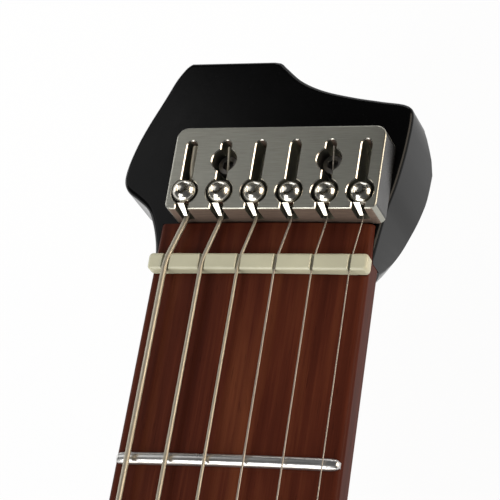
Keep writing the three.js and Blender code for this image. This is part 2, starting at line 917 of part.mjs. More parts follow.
function makeBridge() {
  const halfInside = bridgeSpan / 2 + carriageWidth / 2 + 1.5 * seatGap;
  const halfWidth = halfInside + bridgeWall;
  const length = bridgeFrontY - bridgeRearY;
  const wallTop = bridgeFloor + bridgeWallHeight;
  const shape = roundedRectangle(2 * halfWidth, length, bridgeCorner);
  const middle = (bridgeFrontY + bridgeRearY) / 2;
  const blank = plate(shape, bridgeBottom, bridgeFloor + bridgeBlockHeight, bridgeEdge);
  const blockFrontY = bridgeRearY + bridgeBlockLength;
  const top = bridgeFloor + bridgeBlockHeight + overrun;
  const tools = [
    box([-halfInside, blockFrontY, bridgeFloor], [halfInside, bridgeFrontY + overrun, top]),
    box([-halfWidth - overrun, blockFrontY, wallTop], [halfWidth + overrun, bridgeFrontY + overrun, top]),
    ...strings.map(({ bridgeX }) =>
      bar(rodBoreRadius, bridgeRearY - overrun, blockFrontY + overrun, bridgeX, rodZ, 12),
    ),
  ];
  return cut(blank.translate([0, middle, 0]), tools);
}

function makeCarriage({ bridgeX }) {
  const shape = roundedRectangle(carriageWidth, carriageLength, rodRadius);
  const bottom = bridgeFloor + seatGap;
  const top = bottom + carriageHeight;
  const rearY = carriageFrontY - carriageLength;
  const middle = carriageFrontY - carriageLength / 2;
  const block = plate(shape, bottom, top, 0, 2).translate([bridgeX, middle, 0]);
  const rod = bar(rodRadius, rearY - rodLength, rearY + carriageSlotRearWall / 2, bridgeX, rodZ, 12);
  const slot = box(
    [bridgeX - carriageSlotWidth / 2, rearY + carriageSlotRearWall, bridgeFloor + carriageSlotFloor],
    [bridgeX + carriageSlotWidth / 2, carriageFrontY + overrun, top + overrun],
  );
  return cut(block.add(rod), [slot]);
}

// A round outline with shallow flutes for the fingers.
function flutedCircle(radius, flutes, depth) {
  const points = Array.from({ length: 2 * flutes }, (_, i) => {
    const angle = (i * Math.PI) / flutes;
    const reach = radius - (i % 2) * depth;
    return [reach * Math.cos(angle), reach * Math.sin(angle)];
  });
  return outline(points);
}

function makeTunerKnob({ bridgeX }) {
  const shape = flutedCircle(knobRadius, knobFlutes, knobFlute);
  const blank = plate(shape, 0, knobLength, knobEdge);
  const knob = cut(blank, [post(rodBoreRadius, -overrun, knobLength + overrun, 0, 0, 12)]);
  return knob.rotate([90, 0, 0]).translate([bridgeX, bridgeRearY - seatGap, rodZ]);
}

function makeSaddle({ bridgeX, restY, radius }) {
  const bottom = bridgeFloor + seatGap;
  const crest = stringTopZ - radius - seatGap;
  const rearY = restY - saddleRearReach;
  const frontY = rearY + saddleLength;
  const footTop = bottom + saddleFootHeight;
  const footY = frontY - saddleFootLength;
  const shoulderZ = (crest + footTop) / 2;
  const block = across(
    [
      [rearY, bottom],
      [frontY, bottom],
      [frontY, footTop],
      [footY, footTop],
      [restY + saddleCrest + 1.5 * saddleCrest, shoulderZ],
      [restY + saddleCrest, crest - seatGap],
      [restY + saddleCrest / 2, crest],
      [restY - saddleCrest / 2, crest],
      [rearY + saddleCrest, shoulderZ],
      [rearY, footTop],
    ],
    bridgeX - saddleWidth / 2,
    bridgeX + saddleWidth / 2,
  );
  const slotShape = roundedRectangle(
    2 * saddleScrewRadius,
    2 * saddleScrewRadius + saddleScrewSlot,
    saddleScrewRadius,
  );
  const slotY = (frontY + footY) / 2;
  const slot = plate(slotShape, 0, footTop + overrun).translate([bridgeX, slotY, 0]);
  return cut(block, [slot]);
}

// Pickups and controls

function makePickup(y) {
  const top = bodyThickness + pickupTopAboveBody;
  const shape = roundedRectangle(pickupLength, pickupWidth, pickupCorner);
  const cover = plate(shape, top - pickupHeight, top, pickupEdge).translate([0, y, 0]);
  const spacing = poleSpan / (stringCount - 1);
  const poles = strings.map((_, i) =>
    post(
      poleRadius,
      top - pickupEdge,
      top + poleHeight,
      spacing * ((stringCount - 1) / 2 - i),
      y + pickupWidth / 4,
      8,
    ),
  );
  return join([cover, ...poles]);
}

function makePot(x, y) {
  const roof = bodyThickness - cavityRoof - seatGap;
  const bushingTop = bodyThickness + bushingHeight;
  const nutBottom = bodyThickness + seatGap;
  const floor = roof - potHeight;
  return cut(
    turned([
      [0, floor],
      [potRadius - 1.5 * seatGap, floor],
      [potRadius, floor + 1.5 * seatGap],
      [potRadius, roof],
      [bushingRadius, roof],
      [bushingRadius, nutBottom],
      [potNutRadius, nutBottom],
      [potNutRadius, nutBottom + potNutHeight],
      [bushingRadius, nutBottom + potNutHeight],
      [bushingRadius, bushingTop],
      [0, bushingTop],
    ]),
    [post(shaftBoreRadius, roof - potHeight / 2, bushingTop + overrun, 0, 0, 16)],
  ).translate([x, y, 0]);
}

function shaftBottom() {
  return bodyThickness - cavityRoof - seatGap - potHeight / 2 + seatGap;
}

function makeShaft(x, y) {
  return post(shaftRadius, shaftBottom(), shaftBottom() + shaftLength, x, y, 12);
}

function makeDial(x, y) {
  const bottom = bodyThickness + bushingHeight + dialLift;
  const shape = flutedCircle(dialRadius, dialFlutes, dialFlute);
  const blank = plate(shape, bottom, bottom + dialHeight, dialTop, 3, 2);
  const boreTop = shaftBottom() + shaftLength + seatGap;
  return cut(blank, [post(shaftBoreRadius, 0, boreTop, 0, 0, 12)]).translate([x, y, 0]);
}

function selectorPivotZ() {
  return bodyThickness + selectorBushHeight - selectorPivotDrop - selectorBallRadius;
}

function makeSelectorSwitch() {
  const roof = bodyThickness - cavityRoof - seatGap;
  const caseShape = roundedRectangle(selectorCaseWidth, selectorCaseLength, pickupEdge);
  const top = bodyThickness + selectorBushHeight;
  const nutBottom = bodyThickness + seatGap;
  const body = join([
    plate(caseShape, roof - selectorCaseHeight, roof),
    post(selectorBushRadius, roof - potNutHeight, top),
    post(selectorBushRadius + potNutHeight, nutBottom, nutBottom + potNutHeight),
  ]);
  const boreBottom = selectorPivotZ() - selectorBallRadius - seatGap;
  return cut(body, [post(selectorBoreRadius, boreBottom, top + overrun)]).translate([
    selectorX,
    selectorY,
    0,
  ]);
}

function makeSelectorLever() {
  const rows = [
    [0, -selectorBallRadius],
    [selectorBallRadius / Math.SQRT2, -selectorBallRadius / Math.SQRT2],
    [selectorBallRadius, 0],
    [selectorBallRadius / Math.SQRT2, selectorBallRadius / Math.SQRT2],
    [leverRadius, selectorBallRadius],
    [leverRadius, leverLength - leverTipLength],
    [leverTipRadius, leverLength - leverTipLength / 2],
    [leverTipRadius, leverLength - leverTipRadius / 2],
    [leverTipRadius / 2, leverLength],
    [0, leverLength],
  ];
  return turned(rows, 14).translate([selectorX, selectorY, selectorPivotZ()]);
}

function makeCover() {
  const shape = roundedRectangle(
    cavityWidth + 2 * coverLip,
    cavityLength + 2 * coverLip,
    cavityCorner + coverLip,
  );
  return plate(shape, seatGap, seatGap + coverThickness).translate([cavityX, cavityY, 0]);
}

// The face of the seat that the jack's flange lies on.
function jackSeatX() {
  return jackX - jackSink - jackFlange - seatGap;
}

function jackBore() {
  const z = bodyThickness / 2;
  const far = jackX + overrun;
  const wide = new THREE.CylinderGeometry(
    jackFlangeRadius + seatGap,
    jackFlangeRadius + seatGap,
    far - jackSeatX(),
    20,
  );
  const deep = new THREE.CylinderGeometry(
    jackBarrelRadius + seatGap,
    jackBarrelRadius + seatGap,
    jackBarrelLength,
    16,
  );
  wide.rotateZ(Math.PI / 2).translate((far + jackSeatX()) / 2, jackY, z);
  deep.rotateZ(Math.PI / 2).translate(jackSeatX() - jackBarrelLength / 2 + seatGap, jackY, z);
  return solidOf(wide).add(solidOf(deep));
}

function makeJack() {
  const rows = [
    [0, -jackBarrelLength],
    [jackBarrelRadius, -jackBarrelLength],
    [jackBarrelRadius, seatGap],
    [jackFlangeRadius, seatGap],
    [jackFlangeRadius, jackFlange],
    [jackFlangeRadius - seatGap, jackFlange + seatGap],
    [0, jackFlange + seatGap],
  ];
  const socket = post(jackSocketRadius, jackFlange - jackSocketDepth, jackFlange + overrun, 0, 0, 16);
  return cut(turned(rows), [socket])
    .rotate([0, 90, 0])
    .translate([jackSeatX(), jackY, bodyThickness / 2]);
}

function makeStrapButton(place) {
  const rows = [
    [0, -strapShankLength],
    [strapShankRadius, seatGap - strapShankLength + strapShankRadius],
    [strapShankRadius, seatGap],
    [strapHeadRadius - strapShankRadius, seatGap],
    [strapWaistRadius, strapHeight / 3],
    [strapWaistRadius, (2 * strapHeight) / 3],
    [strapHeadRadius, strapHeight - strapShankRadius / 2],
    [strapHeadRadius - strapShankRadius, strapHeight],
    [0, strapHeight],
  ];
  const profile = rows.map(([radius, height]) => new THREE.Vector2(radius, height));
  const geometry = new THREE.LatheGeometry(profile, 14).rotateX(Math.PI / 2);
  return solidOf(placeAlong(geometry, place, 0));
}

// The assembly

const guitar = new THREE.Group();

function piece(name, solid, finish) {
  const mesh = new THREE.Mesh(geometryOf(solid), new THREE.MeshStandardMaterial(finishes[finish]));
  mesh.name = name;
  guitar.add(mesh);
  return mesh;
}

piece("guitar_body", makeBody(), "black");
piece("neck", makeNeck(), "wood");
piece("fretboard", makeFretboard(), "wood");
piece("truss_rod", makeTrussRod(), "steel");
piece("head_block", makeHead(), "black");
piece("string_lock_block", makeLockBlock(), "steel");
piece("nut", makeNut(), "bone");
piece("bridge_frame", makeBridge(), "plastic");
piece("bridge_pickup", makePickup(bridgePickupY), "plastic");
piece("neck_pickup", makePickup(neckPickupY), "plastic");
piece("control_cover", makeCover(), "plastic");
piece("output_jack", makeJack(), "steel");
piece("selector_switch", makeSelectorSwitch(), "steel");
piece("selector_lever", makeSelectorLever(), "steel");
piece("volume_pot", makePot(volumeX, volumeY), "steel");
piece("tone_pot", makePot(toneX, toneY), "steel");
piece("volume_shaft", makeShaft(volumeX, volumeY), "steel");
piece("tone_shaft", makeShaft(toneX, toneY), "steel");
piece("volume_knob", makeDial(volumeX, volumeY), "plastic");
piece("tone_knob", makeDial(toneX, toneY), "plastic");
strapPlaces.forEach((place, i) => piece(`strap_button_${i + 1}`, makeStrapButton(place), "steel"));
neckScrewPlaces().forEach((place, i) => piece(`neck_screw_${i + 1}`, makeNeckScrew(place), "steel"));
lockScrewPlaces().forEach((place, i) => piece(`lock_block_screw_${i + 1}`, makeLockScrew(place), "steel"));
strings.forEach((row, i) => {
  const number = i + 1;
  piece(`string_${number}`, makeString(row, i), "wire");
  piece(`saddle_${number}`, makeSaddle(row), "steel");
  piece(`tuner_carriage_${number}`, makeCarriage(row), "steel");
  piece(`tuner_knob_${number}`, makeTunerKnob(row), "polished");
  const clamp = piece(`clamp_screw_${number}`, makeClampScrew(), "polished");
  clamp.position.set(row.lockX, lockFrontY + lockPocketBack, row.lockZ + row.radius + seatGap);
});

export default guitar;
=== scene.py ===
# %% [markdown]
# This lesson dresses a headless electric guitar. The imported model gives every piece its real place and size,
# and the cells below give each one the shape and the finish that the eye expects close up.
# The first cell loads the imported model and keeps its box, whose lowest point sets the height of the table.

# %% Load the frame
import json
import math

import bmesh
import bpy
from mathutils import Matrix, Vector

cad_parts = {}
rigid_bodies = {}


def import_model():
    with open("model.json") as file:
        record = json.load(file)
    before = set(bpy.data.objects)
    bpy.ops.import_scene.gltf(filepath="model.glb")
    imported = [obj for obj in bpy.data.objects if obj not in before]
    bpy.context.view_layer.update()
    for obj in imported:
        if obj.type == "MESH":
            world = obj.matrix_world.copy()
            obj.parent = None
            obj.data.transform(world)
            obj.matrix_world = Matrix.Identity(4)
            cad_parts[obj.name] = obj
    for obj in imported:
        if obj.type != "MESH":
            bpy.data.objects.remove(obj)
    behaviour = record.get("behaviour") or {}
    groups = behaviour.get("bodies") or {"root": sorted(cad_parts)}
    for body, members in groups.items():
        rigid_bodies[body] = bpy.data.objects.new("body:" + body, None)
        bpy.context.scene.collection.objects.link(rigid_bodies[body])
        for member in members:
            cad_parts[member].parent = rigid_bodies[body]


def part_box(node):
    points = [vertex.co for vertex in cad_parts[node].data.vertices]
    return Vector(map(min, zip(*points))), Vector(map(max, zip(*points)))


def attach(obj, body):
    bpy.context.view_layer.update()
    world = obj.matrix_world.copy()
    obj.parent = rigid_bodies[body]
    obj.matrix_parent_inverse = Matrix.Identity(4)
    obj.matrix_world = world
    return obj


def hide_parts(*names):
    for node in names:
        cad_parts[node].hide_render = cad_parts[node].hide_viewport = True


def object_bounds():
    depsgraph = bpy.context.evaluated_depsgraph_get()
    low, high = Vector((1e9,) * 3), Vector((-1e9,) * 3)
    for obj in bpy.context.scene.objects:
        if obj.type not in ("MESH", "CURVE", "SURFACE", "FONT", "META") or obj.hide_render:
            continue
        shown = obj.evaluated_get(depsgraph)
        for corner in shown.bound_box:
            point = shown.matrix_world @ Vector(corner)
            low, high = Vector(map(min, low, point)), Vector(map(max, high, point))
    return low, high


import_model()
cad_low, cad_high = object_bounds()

# %% [markdown]
# The guitar lies on its back. Y runs along the strings towards the head end, X towards the thin strings, and
# Z out of the front. These are the few sizes that the pieces share. They repeat the sizes of the model.

# %% Shared sizes
mm = 0.001
strings = 6
scale_length = 648 * mm
saddle_y = -120 * mm
nut_y = saddle_y + scale_length
nut_length = 3.3 * mm
nut_middle = nut_y + nut_length / 2
board_top = 52 * mm
board_thickness = 6 * mm
board_radius = 400 * mm
board_half_at_nut = 20.95 * mm
board_half_at_heel = 28 * mm
board_heel_y = 34 * mm
board_end_y = nut_y + 10.3 * mm
body_thickness = 42 * mm
fret_count = 24
string_diameters = [d * mm for d in (0.25, 0.33, 0.43, 0.66, 0.91, 1.17)]
first_wound = 3
neck_screw_places = [(x * mm, y * mm) for x, y in ((18, 48), (-18, 48), (18, 82), (-18, 82))]


def fret_y(number):
    return nut_y - scale_length * (1 - 2 ** (-number / 12))


def board_half(y):
    share = (nut_y - y) / (nut_y - board_heel_y)
    return board_half_at_nut + (board_half_at_heel - board_half_at_nut) * share


print("first fret", round(fret_y(1) / mm, 1), "mm; board half width", round(board_half(fret_y(1)) / mm, 2))

# %% [markdown]
# The camera stands at the photographed angle: half a metre from the head end, above it and a little to the
# treble side, with a long lens. Its three axes are written as directions, which says the roll as well.

# %% Camera
scene = bpy.context.scene
camera_data = bpy.data.cameras.new("photo_camera")
camera_data.lens = 190.2
camera_data.sensor_width = 36
camera_data.clip_start = 0.02
camera_data.clip_end = 20
camera = bpy.data.objects.new("photo_camera", camera_data)
scene.collection.objects.link(camera)
camera_place = Vector((168.7, nut_y / mm - 185.7, board_top / mm + 409.5)) * mm
camera_right = Vector((0.93535, 0.15177, -0.31950)).normalized()
camera_up = Vector((-0.00275, 0.90637, 0.42247)).normalized()
camera_back = camera_right.cross(camera_up)
camera_turn = Matrix((camera_right, camera_up, camera_back)).transposed().to_4x4()
camera.matrix_world = Matrix.Translation(camera_place) @ camera_turn
scene.camera = camera
print("camera", [round(v, 3) for v in camera_place])

# %% [markdown]
# Light and finishes are built from shader nodes. One helper adds a node and feeds its inputs, each with a
# plain value or with what another node puts out. The others name the few kinds that come back often.

# %% Helpers for nodes
def feed(tree, socket, value):
    """Links a socket, or sets it to a plain value. A colour is three numbers."""
    if isinstance(value, bpy.types.NodeSocket):
        tree.links.new(value, socket)
    else:
        socket.default_value = (*value, 1) if socket.type == "RGBA" else value


def add_node(tree, kind, inputs=(), **settings):
    """Adds a node of a kind. Its inputs go by name or by number."""
    made = tree.nodes.new("ShaderNode" + kind)
    for name, value in settings.items():
        setattr(made, name, value)
    for key, value in dict(inputs).items():
        feed(tree, made.inputs[key], value)
    return made


def shade(tree, inputs):
    """Feeds the Principled shader that a new material starts with."""
    for title, value in inputs.items():
        feed(tree, tree.nodes["Principled BSDF"].inputs[title], value)


def arithmetic(tree, operation, first, second):
    return add_node(tree, "Math", {0: first, 1: second}, operation=operation).outputs[0]


def ranged(tree, value, low, high, to_low=0, to_high=1):
    ends = {"From Min": low, "From Max": high, "To Min": to_low, "To Max": to_high}
    return add_node(tree, "MapRange", {"Value": value, **ends}).outputs[0]


def mapped(tree, source, scale, place=(0, 0, 0)):
    return add_node(tree, "Mapping", {"Vector": source, "Scale": scale, "Location": place}).outputs[0]


def mixed_shaders(tree, share, first, second):
    return add_node(tree, "MixShader", {0: share, 1: first.outputs[0], 2: second.outputs[0]})


def seen_directly(tree, path):
    """One for what the camera sees, also through glass."""
    return arithmetic(tree, "MAXIMUM", path["Is Camera Ray"], path["Is Transmission Ray"])


print("node helpers ready")

# %% [markdown]
# A product photograph of this kind is lit by large soft boxes over a white table, with a white backdrop behind
# it and a dim ceiling above. Table and backdrop are white for the camera, for mirrors and for glass, and the
# table keeps a little of the object's shadow. Polished metal shows what stands round it, so the ceiling stays
# dim in reflections, and the soft boxes draw the highlights. The lamps stay at a plain level.

# %% Stage and light
table_gap = 0.5 * mm
shadow_kept = 0.06
scene.view_settings.view_transform = "Standard"

world = bpy.data.worlds.new("studio")
scene.world = world
world.use_nodes = True
sky = world.node_tree
sky_light = add_node(sky, "Background", {"Color": (0.92, 0.96, 1), "Strength": 0.4})
ceiling = add_node(sky, "Background", {"Color": (0.95, 0.97, 1), "Strength": 0.08})
backdrop = add_node(sky, "Background", {"Color": (1, 1, 1), "Strength": 1})
direction = add_node(sky, "TexCoord").outputs["Generated"]
height = add_node(sky, "SeparateXYZ", {0: direction}).outputs["Z"]
path = add_node(sky, "LightPath").outputs
reflected = mixed_shaders(sky, ranged(sky, height, 0.06, 0.02), ceiling, backdrop)
sky_round = mixed_shaders(sky, path["Is Glossy Ray"], sky_light, reflected)
sky_mix = mixed_shaders(sky, seen_directly(sky, path), sky_round, backdrop)
feed(sky, sky.nodes["World Output"].inputs["Surface"], sky_mix.outputs[0])

bm = bmesh.new()
bmesh.ops.create_grid(bm, x_segments=1, y_segments=1, size=4)
bmesh.ops.translate(bm, verts=bm.verts, vec=(0, 0, cad_low.z - table_gap))
table_mesh = bpy.data.meshes.new("table")
bm.to_mesh(table_mesh)
bm.free()
table = bpy.data.objects.new("table", table_mesh)
scene.collection.objects.link(table)
table_paint = bpy.data.materials.new("white_table")
table_paint.use_nodes = True
paint = table_paint.node_tree
shade(paint, {"Base Color": (0.9, 0.9, 0.9), "Roughness": 0.8})
glow = add_node(paint, "Emission", {"Color": (1, 1, 1)})
path = add_node(paint, "LightPath").outputs
seen = arithmetic(paint, "MAXIMUM", seen_directly(paint, path), path["Is Glossy Ray"])
glow_share = arithmetic(paint, "MULTIPLY", seen, 1 - shadow_kept)
table_mix = mixed_shaders(paint, glow_share, paint.nodes["Principled BSDF"], glow)
from_below = add_node(paint, "NewGeometry").outputs["Backfacing"]
table_sides = mixed_shaders(paint, from_below, table_mix, add_node(paint, "BsdfTransparent"))
feed(paint, paint.nodes["Material Output"].inputs["Surface"], table_sides.outputs[0])
table_mesh.materials.append(table_paint)

# Each lamp looks at the head end from an offset in metres, and has a width, a height, watts and a colour.
head_middle = Vector((0, nut_y + 10 * mm, board_top))
for name, offset, width, height, watts, colour in (
    ("key_box", (-0.68, -1.22, 1.1), 0.8, 0.6, 12, (1, 1, 1)),
    ("near_box", (-0.31, 0.16, 0.32), 0.25, 0.25, 0.29, (1, 1, 1)),
    ("front_box", (-0.3, -1.3, 0.28), 1.3, 0.5, 10, (1, 0.97, 0.92)),
    ("back_box", (0.0, 1.2, 0.25), 0.7, 0.2, 2, (1, 1, 1)),
    ("left_box", (-1.3, 0.4, 0.15), 0.6, 0.5, 2.4, (1, 1, 1)),
    ("right_box", (1.2, 0.35, 0.4), 1.0, 0.7, 15, (1, 0.86, 0.7)),
):
    data = bpy.data.lights.new(name, "AREA")
    data.shape = "RECTANGLE"
    data.size, data.size_y = width, height
    data.energy = watts
    data.color = colour
    lamp = bpy.data.objects.new(name, data)
    scene.collection.objects.link(lamp)
    lamp.location = head_middle + Vector(offset)
    lamp.rotation_euler = (-Vector(offset)).to_track_quat("-Z", "Y").to_euler()

# %% [markdown]
# Every piece below is made the same way: a bmesh is shaped with operators, becomes an object whose place is in
# its mesh, and rides on a body of the model. Smooth shading stops at edges sharper than a given angle.

# %% Helpers for pieces
hair = 1e-6


def shade_to(mesh, angle):
    mesh.shade_smooth()
    mesh.set_sharp_from_angle(angle=math.radians(angle))


def finish_mesh(name, bm, angle=35, recalc=False):
    """Turns a bmesh into an object, smooth up to an angle in degrees."""
    if recalc:
        bmesh.ops.remove_doubles(bm, verts=bm.verts, dist=1e-7)
        bmesh.ops.recalc_face_normals(bm, faces=bm.faces)
    mesh = bpy.data.meshes.new(name)
    bm.to_mesh(mesh)
    bm.free()
    shade_to(mesh, angle)
    piece = bpy.data.objects.new(name, mesh)
    scene.collection.objects.link(piece)
    return piece


def carve(piece, cutters, operation="DIFFERENCE", angle=35):
    """Cuts other objects out of a piece, or joins or crosses them with it, and removes them."""
    for cutter in cutters:
        tool = piece.modifiers.new(cutter.name, "BOOLEAN")
        tool.operation = operation
        tool.solver = "EXACT"
        tool.object = cutter
    bpy.context.view_layer.update()
    graph = bpy.context.evaluated_depsgraph_get()
    mesh = bpy.data.meshes.new_from_object(piece.evaluated_get(graph))
    mesh.name = piece.name
    piece.modifiers.clear()
    piece.data = mesh
    shade_to(mesh, angle)
    for cutter in cutters:
        bpy.data.objects.remove(cutter)


def dress(piece, body, material, slot, *nodes):
    """Gives a piece its material and its body, and hides the model's nodes that it stands for. Flat faces stay
    flat-looking.
    """
    piece.data.materials.clear()
    piece.data.materials.append(material)
    soft = piece.modifiers.new("soft_corners", "WEIGHTED_NORMAL")
    soft.weight = 60
    soft.keep_sharp = True
    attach(piece, body)
    if nodes:
        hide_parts(*nodes)


def heights(node):
    """How low and how high a node of the model reaches."""
    low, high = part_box(node)
    return low[2], high[2]


def sharp_edges(bm, degrees=60):
    limit = math.radians(degrees)
    return [e for e in bm.edges if len(e.link_faces) == 2 and e.calc_face_angle(0) > limit]


def level_edges(bm):
    return [e for e in bm.edges if abs(e.verts[0].co.z - e.verts[1].co.z) < hair]


def bevel_edges(bm, edges, width, segments):
    bmesh.ops.bevel(
        bm, geom=edges, offset=width, offset_type="OFFSET", affect="EDGES", segments=segments,
        profile=0.5, material=-1, clamp_overlap=True,
    )


def add_block(bm, low, high):
    made = bmesh.ops.create_cube(bm, size=1)["verts"]
    bmesh.ops.scale(bm, verts=made, vec=Vector(high) - Vector(low))
    bmesh.ops.translate(bm, verts=made, vec=(Vector(high) + Vector(low)) / 2)
    return made


def block(name, low, high, edge=0, segments=2):
    bm = bmesh.new()
    add_block(bm, low, high)
    if edge:
        bevel_edges(bm, list(bm.edges), edge, segments)
    return finish_mesh(name, bm)


def along_axis(direction):
    return Vector((0, 0, 1)).rotation_difference(Vector(direction)).to_matrix().to_4x4()


def add_cone(bm, low_radius, high_radius, low, high, segments):
    """A cylinder or cone between two points."""
    low, high = Vector(low), Vector(high)
    return bmesh.ops.create_cone(
        bm, cap_ends=True, segments=segments, radius1=low_radius, radius2=high_radius,
        depth=(high - low).length, matrix=Matrix.Translation((low + high) / 2) @ along_axis(high - low),
    )["verts"]


def post(name, low, high, radius, segments=32, high_radius=None):
    bm = bmesh.new()
    add_cone(bm, radius, high_radius or radius, low, high, segments)
    return finish_mesh(name, bm)


def raise_outline(points, low, high):
    """A new bmesh with a flat outline in X and Y raised from one height to another."""
    bm = bmesh.new()
    base = bm.faces.new([bm.verts.new((x, y, low)) for x, y in points])
    raised = bmesh.ops.extrude_face_region(bm, geom=[base])["geom"]
    top = [item for item in raised if isinstance(item, bmesh.types.BMVert)]
    bmesh.ops.translate(bm, verts=top, vec=(0, 0, high - low))
    bmesh.ops.recalc_face_normals(bm, faces=bm.faces)
    return bm


def plate(name, points, low, high, edge=0, segments=2):
    """A raised outline with its square edges bevelled."""
    bm = raise_outline(points, low, high)
    if edge:
        bevel_edges(bm, sharp_edges(bm), edge, segments)
    return finish_mesh(name, bm)


def turned_piece(name, rows, place, axis=(0, 0, 1), segments=64, angle=35):
    """A turned piece: rows of radius and height in millimetres, set on a place along a direction."""
    bm = bmesh.new()
    ring = [bm.verts.new((radius * mm, 0, height * mm)) for radius, height in rows]
    edges = [bm.edges.new(pair) for pair in zip(ring, ring[1:])]
    bmesh.ops.spin(
        bm, geom=ring + edges, cent=(0, 0, 0), axis=(0, 0, 1), angle=2 * math.pi, steps=segments,
        use_merge=True,
    )
    bmesh.ops.transform(bm, matrix=Matrix.Translation(place) @ along_axis(axis), verts=bm.verts)
    return finish_mesh(name, bm, angle, recalc=True)


def add_loft(bm, sections):
    """A closed skin over sections with the same number of points."""
    rings = [[bm.verts.new(point) for point in section] for section in sections]
    for a, b in zip(rings, rings[1:]):
        for i in range(len(a)):
            k = (i + 1) % len(a)
            bm.faces.new((a[i], a[k], b[k], b[i]))
    bm.faces.new(rings[0])
    bm.faces.new(rings[-1])


def chamfered(name, plan, low, high, chamfer):
    """A cutter with straight walls up to a chamfer below the height, and spread at forty-five degrees above.
    The plan is a function of how far it is grown."""
    levels = ((plan(0), low), (plan(0), high - chamfer), (plan(2 * chamfer), high + chamfer))
    bm = bmesh.new()
    add_loft(bm, [[Vector((x, y, z)) for x, y in points] for points, z in levels])
    return finish_mesh(name, bm, recalc=True)


def circle(x, y, radius, steps=48, start=0):
    turns = [start + 2 * math.pi * i / steps for i in range(steps)]
    return [(x + radius * math.cos(a), y + radius * math.sin(a)) for a in turns]


def hexagon(x, y, reach):
    return circle(x, y, reach, 6, math.pi / 6)


def rounded_rectangle(centre, size, corner, steps=8, front_corner=None):
    """The plan of a rectangle with round corners, which may be smaller at its front, towards the body."""
    x, y = centre
    found = []
    for quarter, (sx, sy) in enumerate(((1, 1), (-1, 1), (-1, -1), (1, -1))):
        radius = front_corner if front_corner and sy < 0 else corner
        cx, cy = sx * (size[0] / 2 - radius), sy * (size[1] / 2 - radius)
        for step in range(steps + 1):
            angle = math.pi / 2 * (quarter + step / steps)
            found.append((x + cx + radius * math.cos(angle), y + cy + radius * math.sin(angle)))
    return found


print("piece helpers ready")

# %% [markdown]
# Finishes are node materials. Three effects come back in several of them, so each is a node group: the fine
# parallel scratches of brushed metal, the cloudy traces of handling, and the grain of an open-pored wood.
# All read Object coordinates, which are in metres here, so a Mapping node first turns them into millimetres.

# %% Shared effects
def new_group(name, inputs, outputs):
    """A node group, what it is given and what it puts out."""
    group = bpy.data.node_groups.new(name, "ShaderNodeTree")
    for direction, sockets in (("INPUT", inputs), ("OUTPUT", outputs)):
        for title, kind in sockets.items():
            group.interface.new_socket(name=title, in_out=direction, socket_type="NodeSocket" + kind)
    return group, group.nodes.new("NodeGroupInput").outputs, group.nodes.new("NodeGroupOutput").inputs


def noise(tree, vector, scale, detail, roughness, distortion=0):
    kind = {"Scale": scale, "Detail": detail, "Roughness": roughness, "Distortion": distortion}
    return add_node(tree, "TexNoise", {"Vector": vector, **kind}).outputs["Fac"]


def blended(tree, share, first, second):
    """Mixes two colours. The colour sockets of this node are the seventh, the eighth and the third out."""
    return add_node(tree, "Mix", {0: share, 6: first, 7: second}, data_type="RGBA").outputs[2]


def scaled(tree, vector, share):
    return add_node(tree, "VectorMath", {0: vector, "Scale": share}, operation="SCALE").outputs[0]


# Brushed metal: noise drawn out along one direction. Stretch scales the millimetres along each axis.
brushed_group, given, out = new_group(
    "brushed_lines", {"Millimetres": "Vector", "Stretch": "Vector"}, {"Lines": "Float", "Clouds": "Float"}
)
stretched = add_node(
    brushed_group, "VectorMath", {0: given["Millimetres"], 1: given["Stretch"]}, operation="MULTIPLY"
)
fine = noise(brushed_group, stretched.outputs[0], 1, 3, 0.6)
broad = noise(brushed_group, given["Millimetres"], 0.12, 3, 0.5)
feed(brushed_group, out["Lines"], ranged(brushed_group, fine, 0.3, 0.7))
feed(brushed_group, out["Clouds"], ranged(brushed_group, broad, 0.35, 0.65))

# Handling: faint cloudy marks that a hand leaves, and a few fine specks.
handling_group, given, out = new_group(
    "handling", {"Millimetres": "Vector"}, {"Marks": "Float", "Specks": "Float"}
)
marks = noise(handling_group, given["Millimetres"], 0.05, 6, 0.6, 0.6)
specks = noise(handling_group, given["Millimetres"], 2.4, 2, 0.5)
feed(handling_group, out["Marks"], ranged(handling_group, marks, 0.4, 0.7))
feed(handling_group, out["Specks"], ranged(handling_group, specks, 0.62, 0.75))

# Wood: broad bands, fine fibres and short dark pores, all drawn out along the length of the board.
wood, given, out = new_group(
    "wood_grain",
    {"Millimetres": "Vector", "Dark": "Color", "Middle": "Color", "Light": "Color"},
    {"Color": "Color", "Height": "Float", "Pores": "Float"},
)
place = given["Millimetres"]
bands = noise(wood, mapped(wood, place, (0.16, 0.012, 0.16)), 1, 4, 0.55, 0.5)
streaks = noise(wood, mapped(wood, place, (0.9, 0.014, 0.9)), 1, 5, 0.6, 0.3)
fibres = noise(wood, mapped(wood, place, (5.5, 0.12, 5.5)), 1, 3, 0.6)
pores = ranged(wood, noise(wood, mapped(wood, place, (4.2, 0.22, 4.2), (3, 7, 1)), 1, 2, 0.5), 0.64, 0.76)
tone = arithmetic(
    wood, "ADD", ranged(wood, bands, 0.32, 0.68, 0, 0.7), ranged(wood, streaks, 0.3, 0.7, 0, 0.3)
)
toned = blended(wood, ranged(wood, tone, 0.15, 0.55), given["Dark"], given["Middle"])
toned = blended(wood, ranged(wood, tone, 0.5, 0.95), toned, given["Light"])
fibred = scaled(wood, toned, ranged(wood, fibres, 0.3, 0.7, 0.9, 1.07))
feed(wood, out["Color"], scaled(wood, fibred, ranged(wood, pores, 0, 1, 1, 0.6)))
feed(wood, out["Height"], arithmetic(wood, "SUBTRACT", fibres, pores))
feed(wood, out["Pores"], pores)
print("groups", [g.name for g in bpy.data.node_groups])

# %% [markdown]
# The black lacquer of head and body is satin: dark, with a soft sheen that handling breaks up a little.
# The steel of the lock block is brushed along its length, and its relief is far too fine to model.

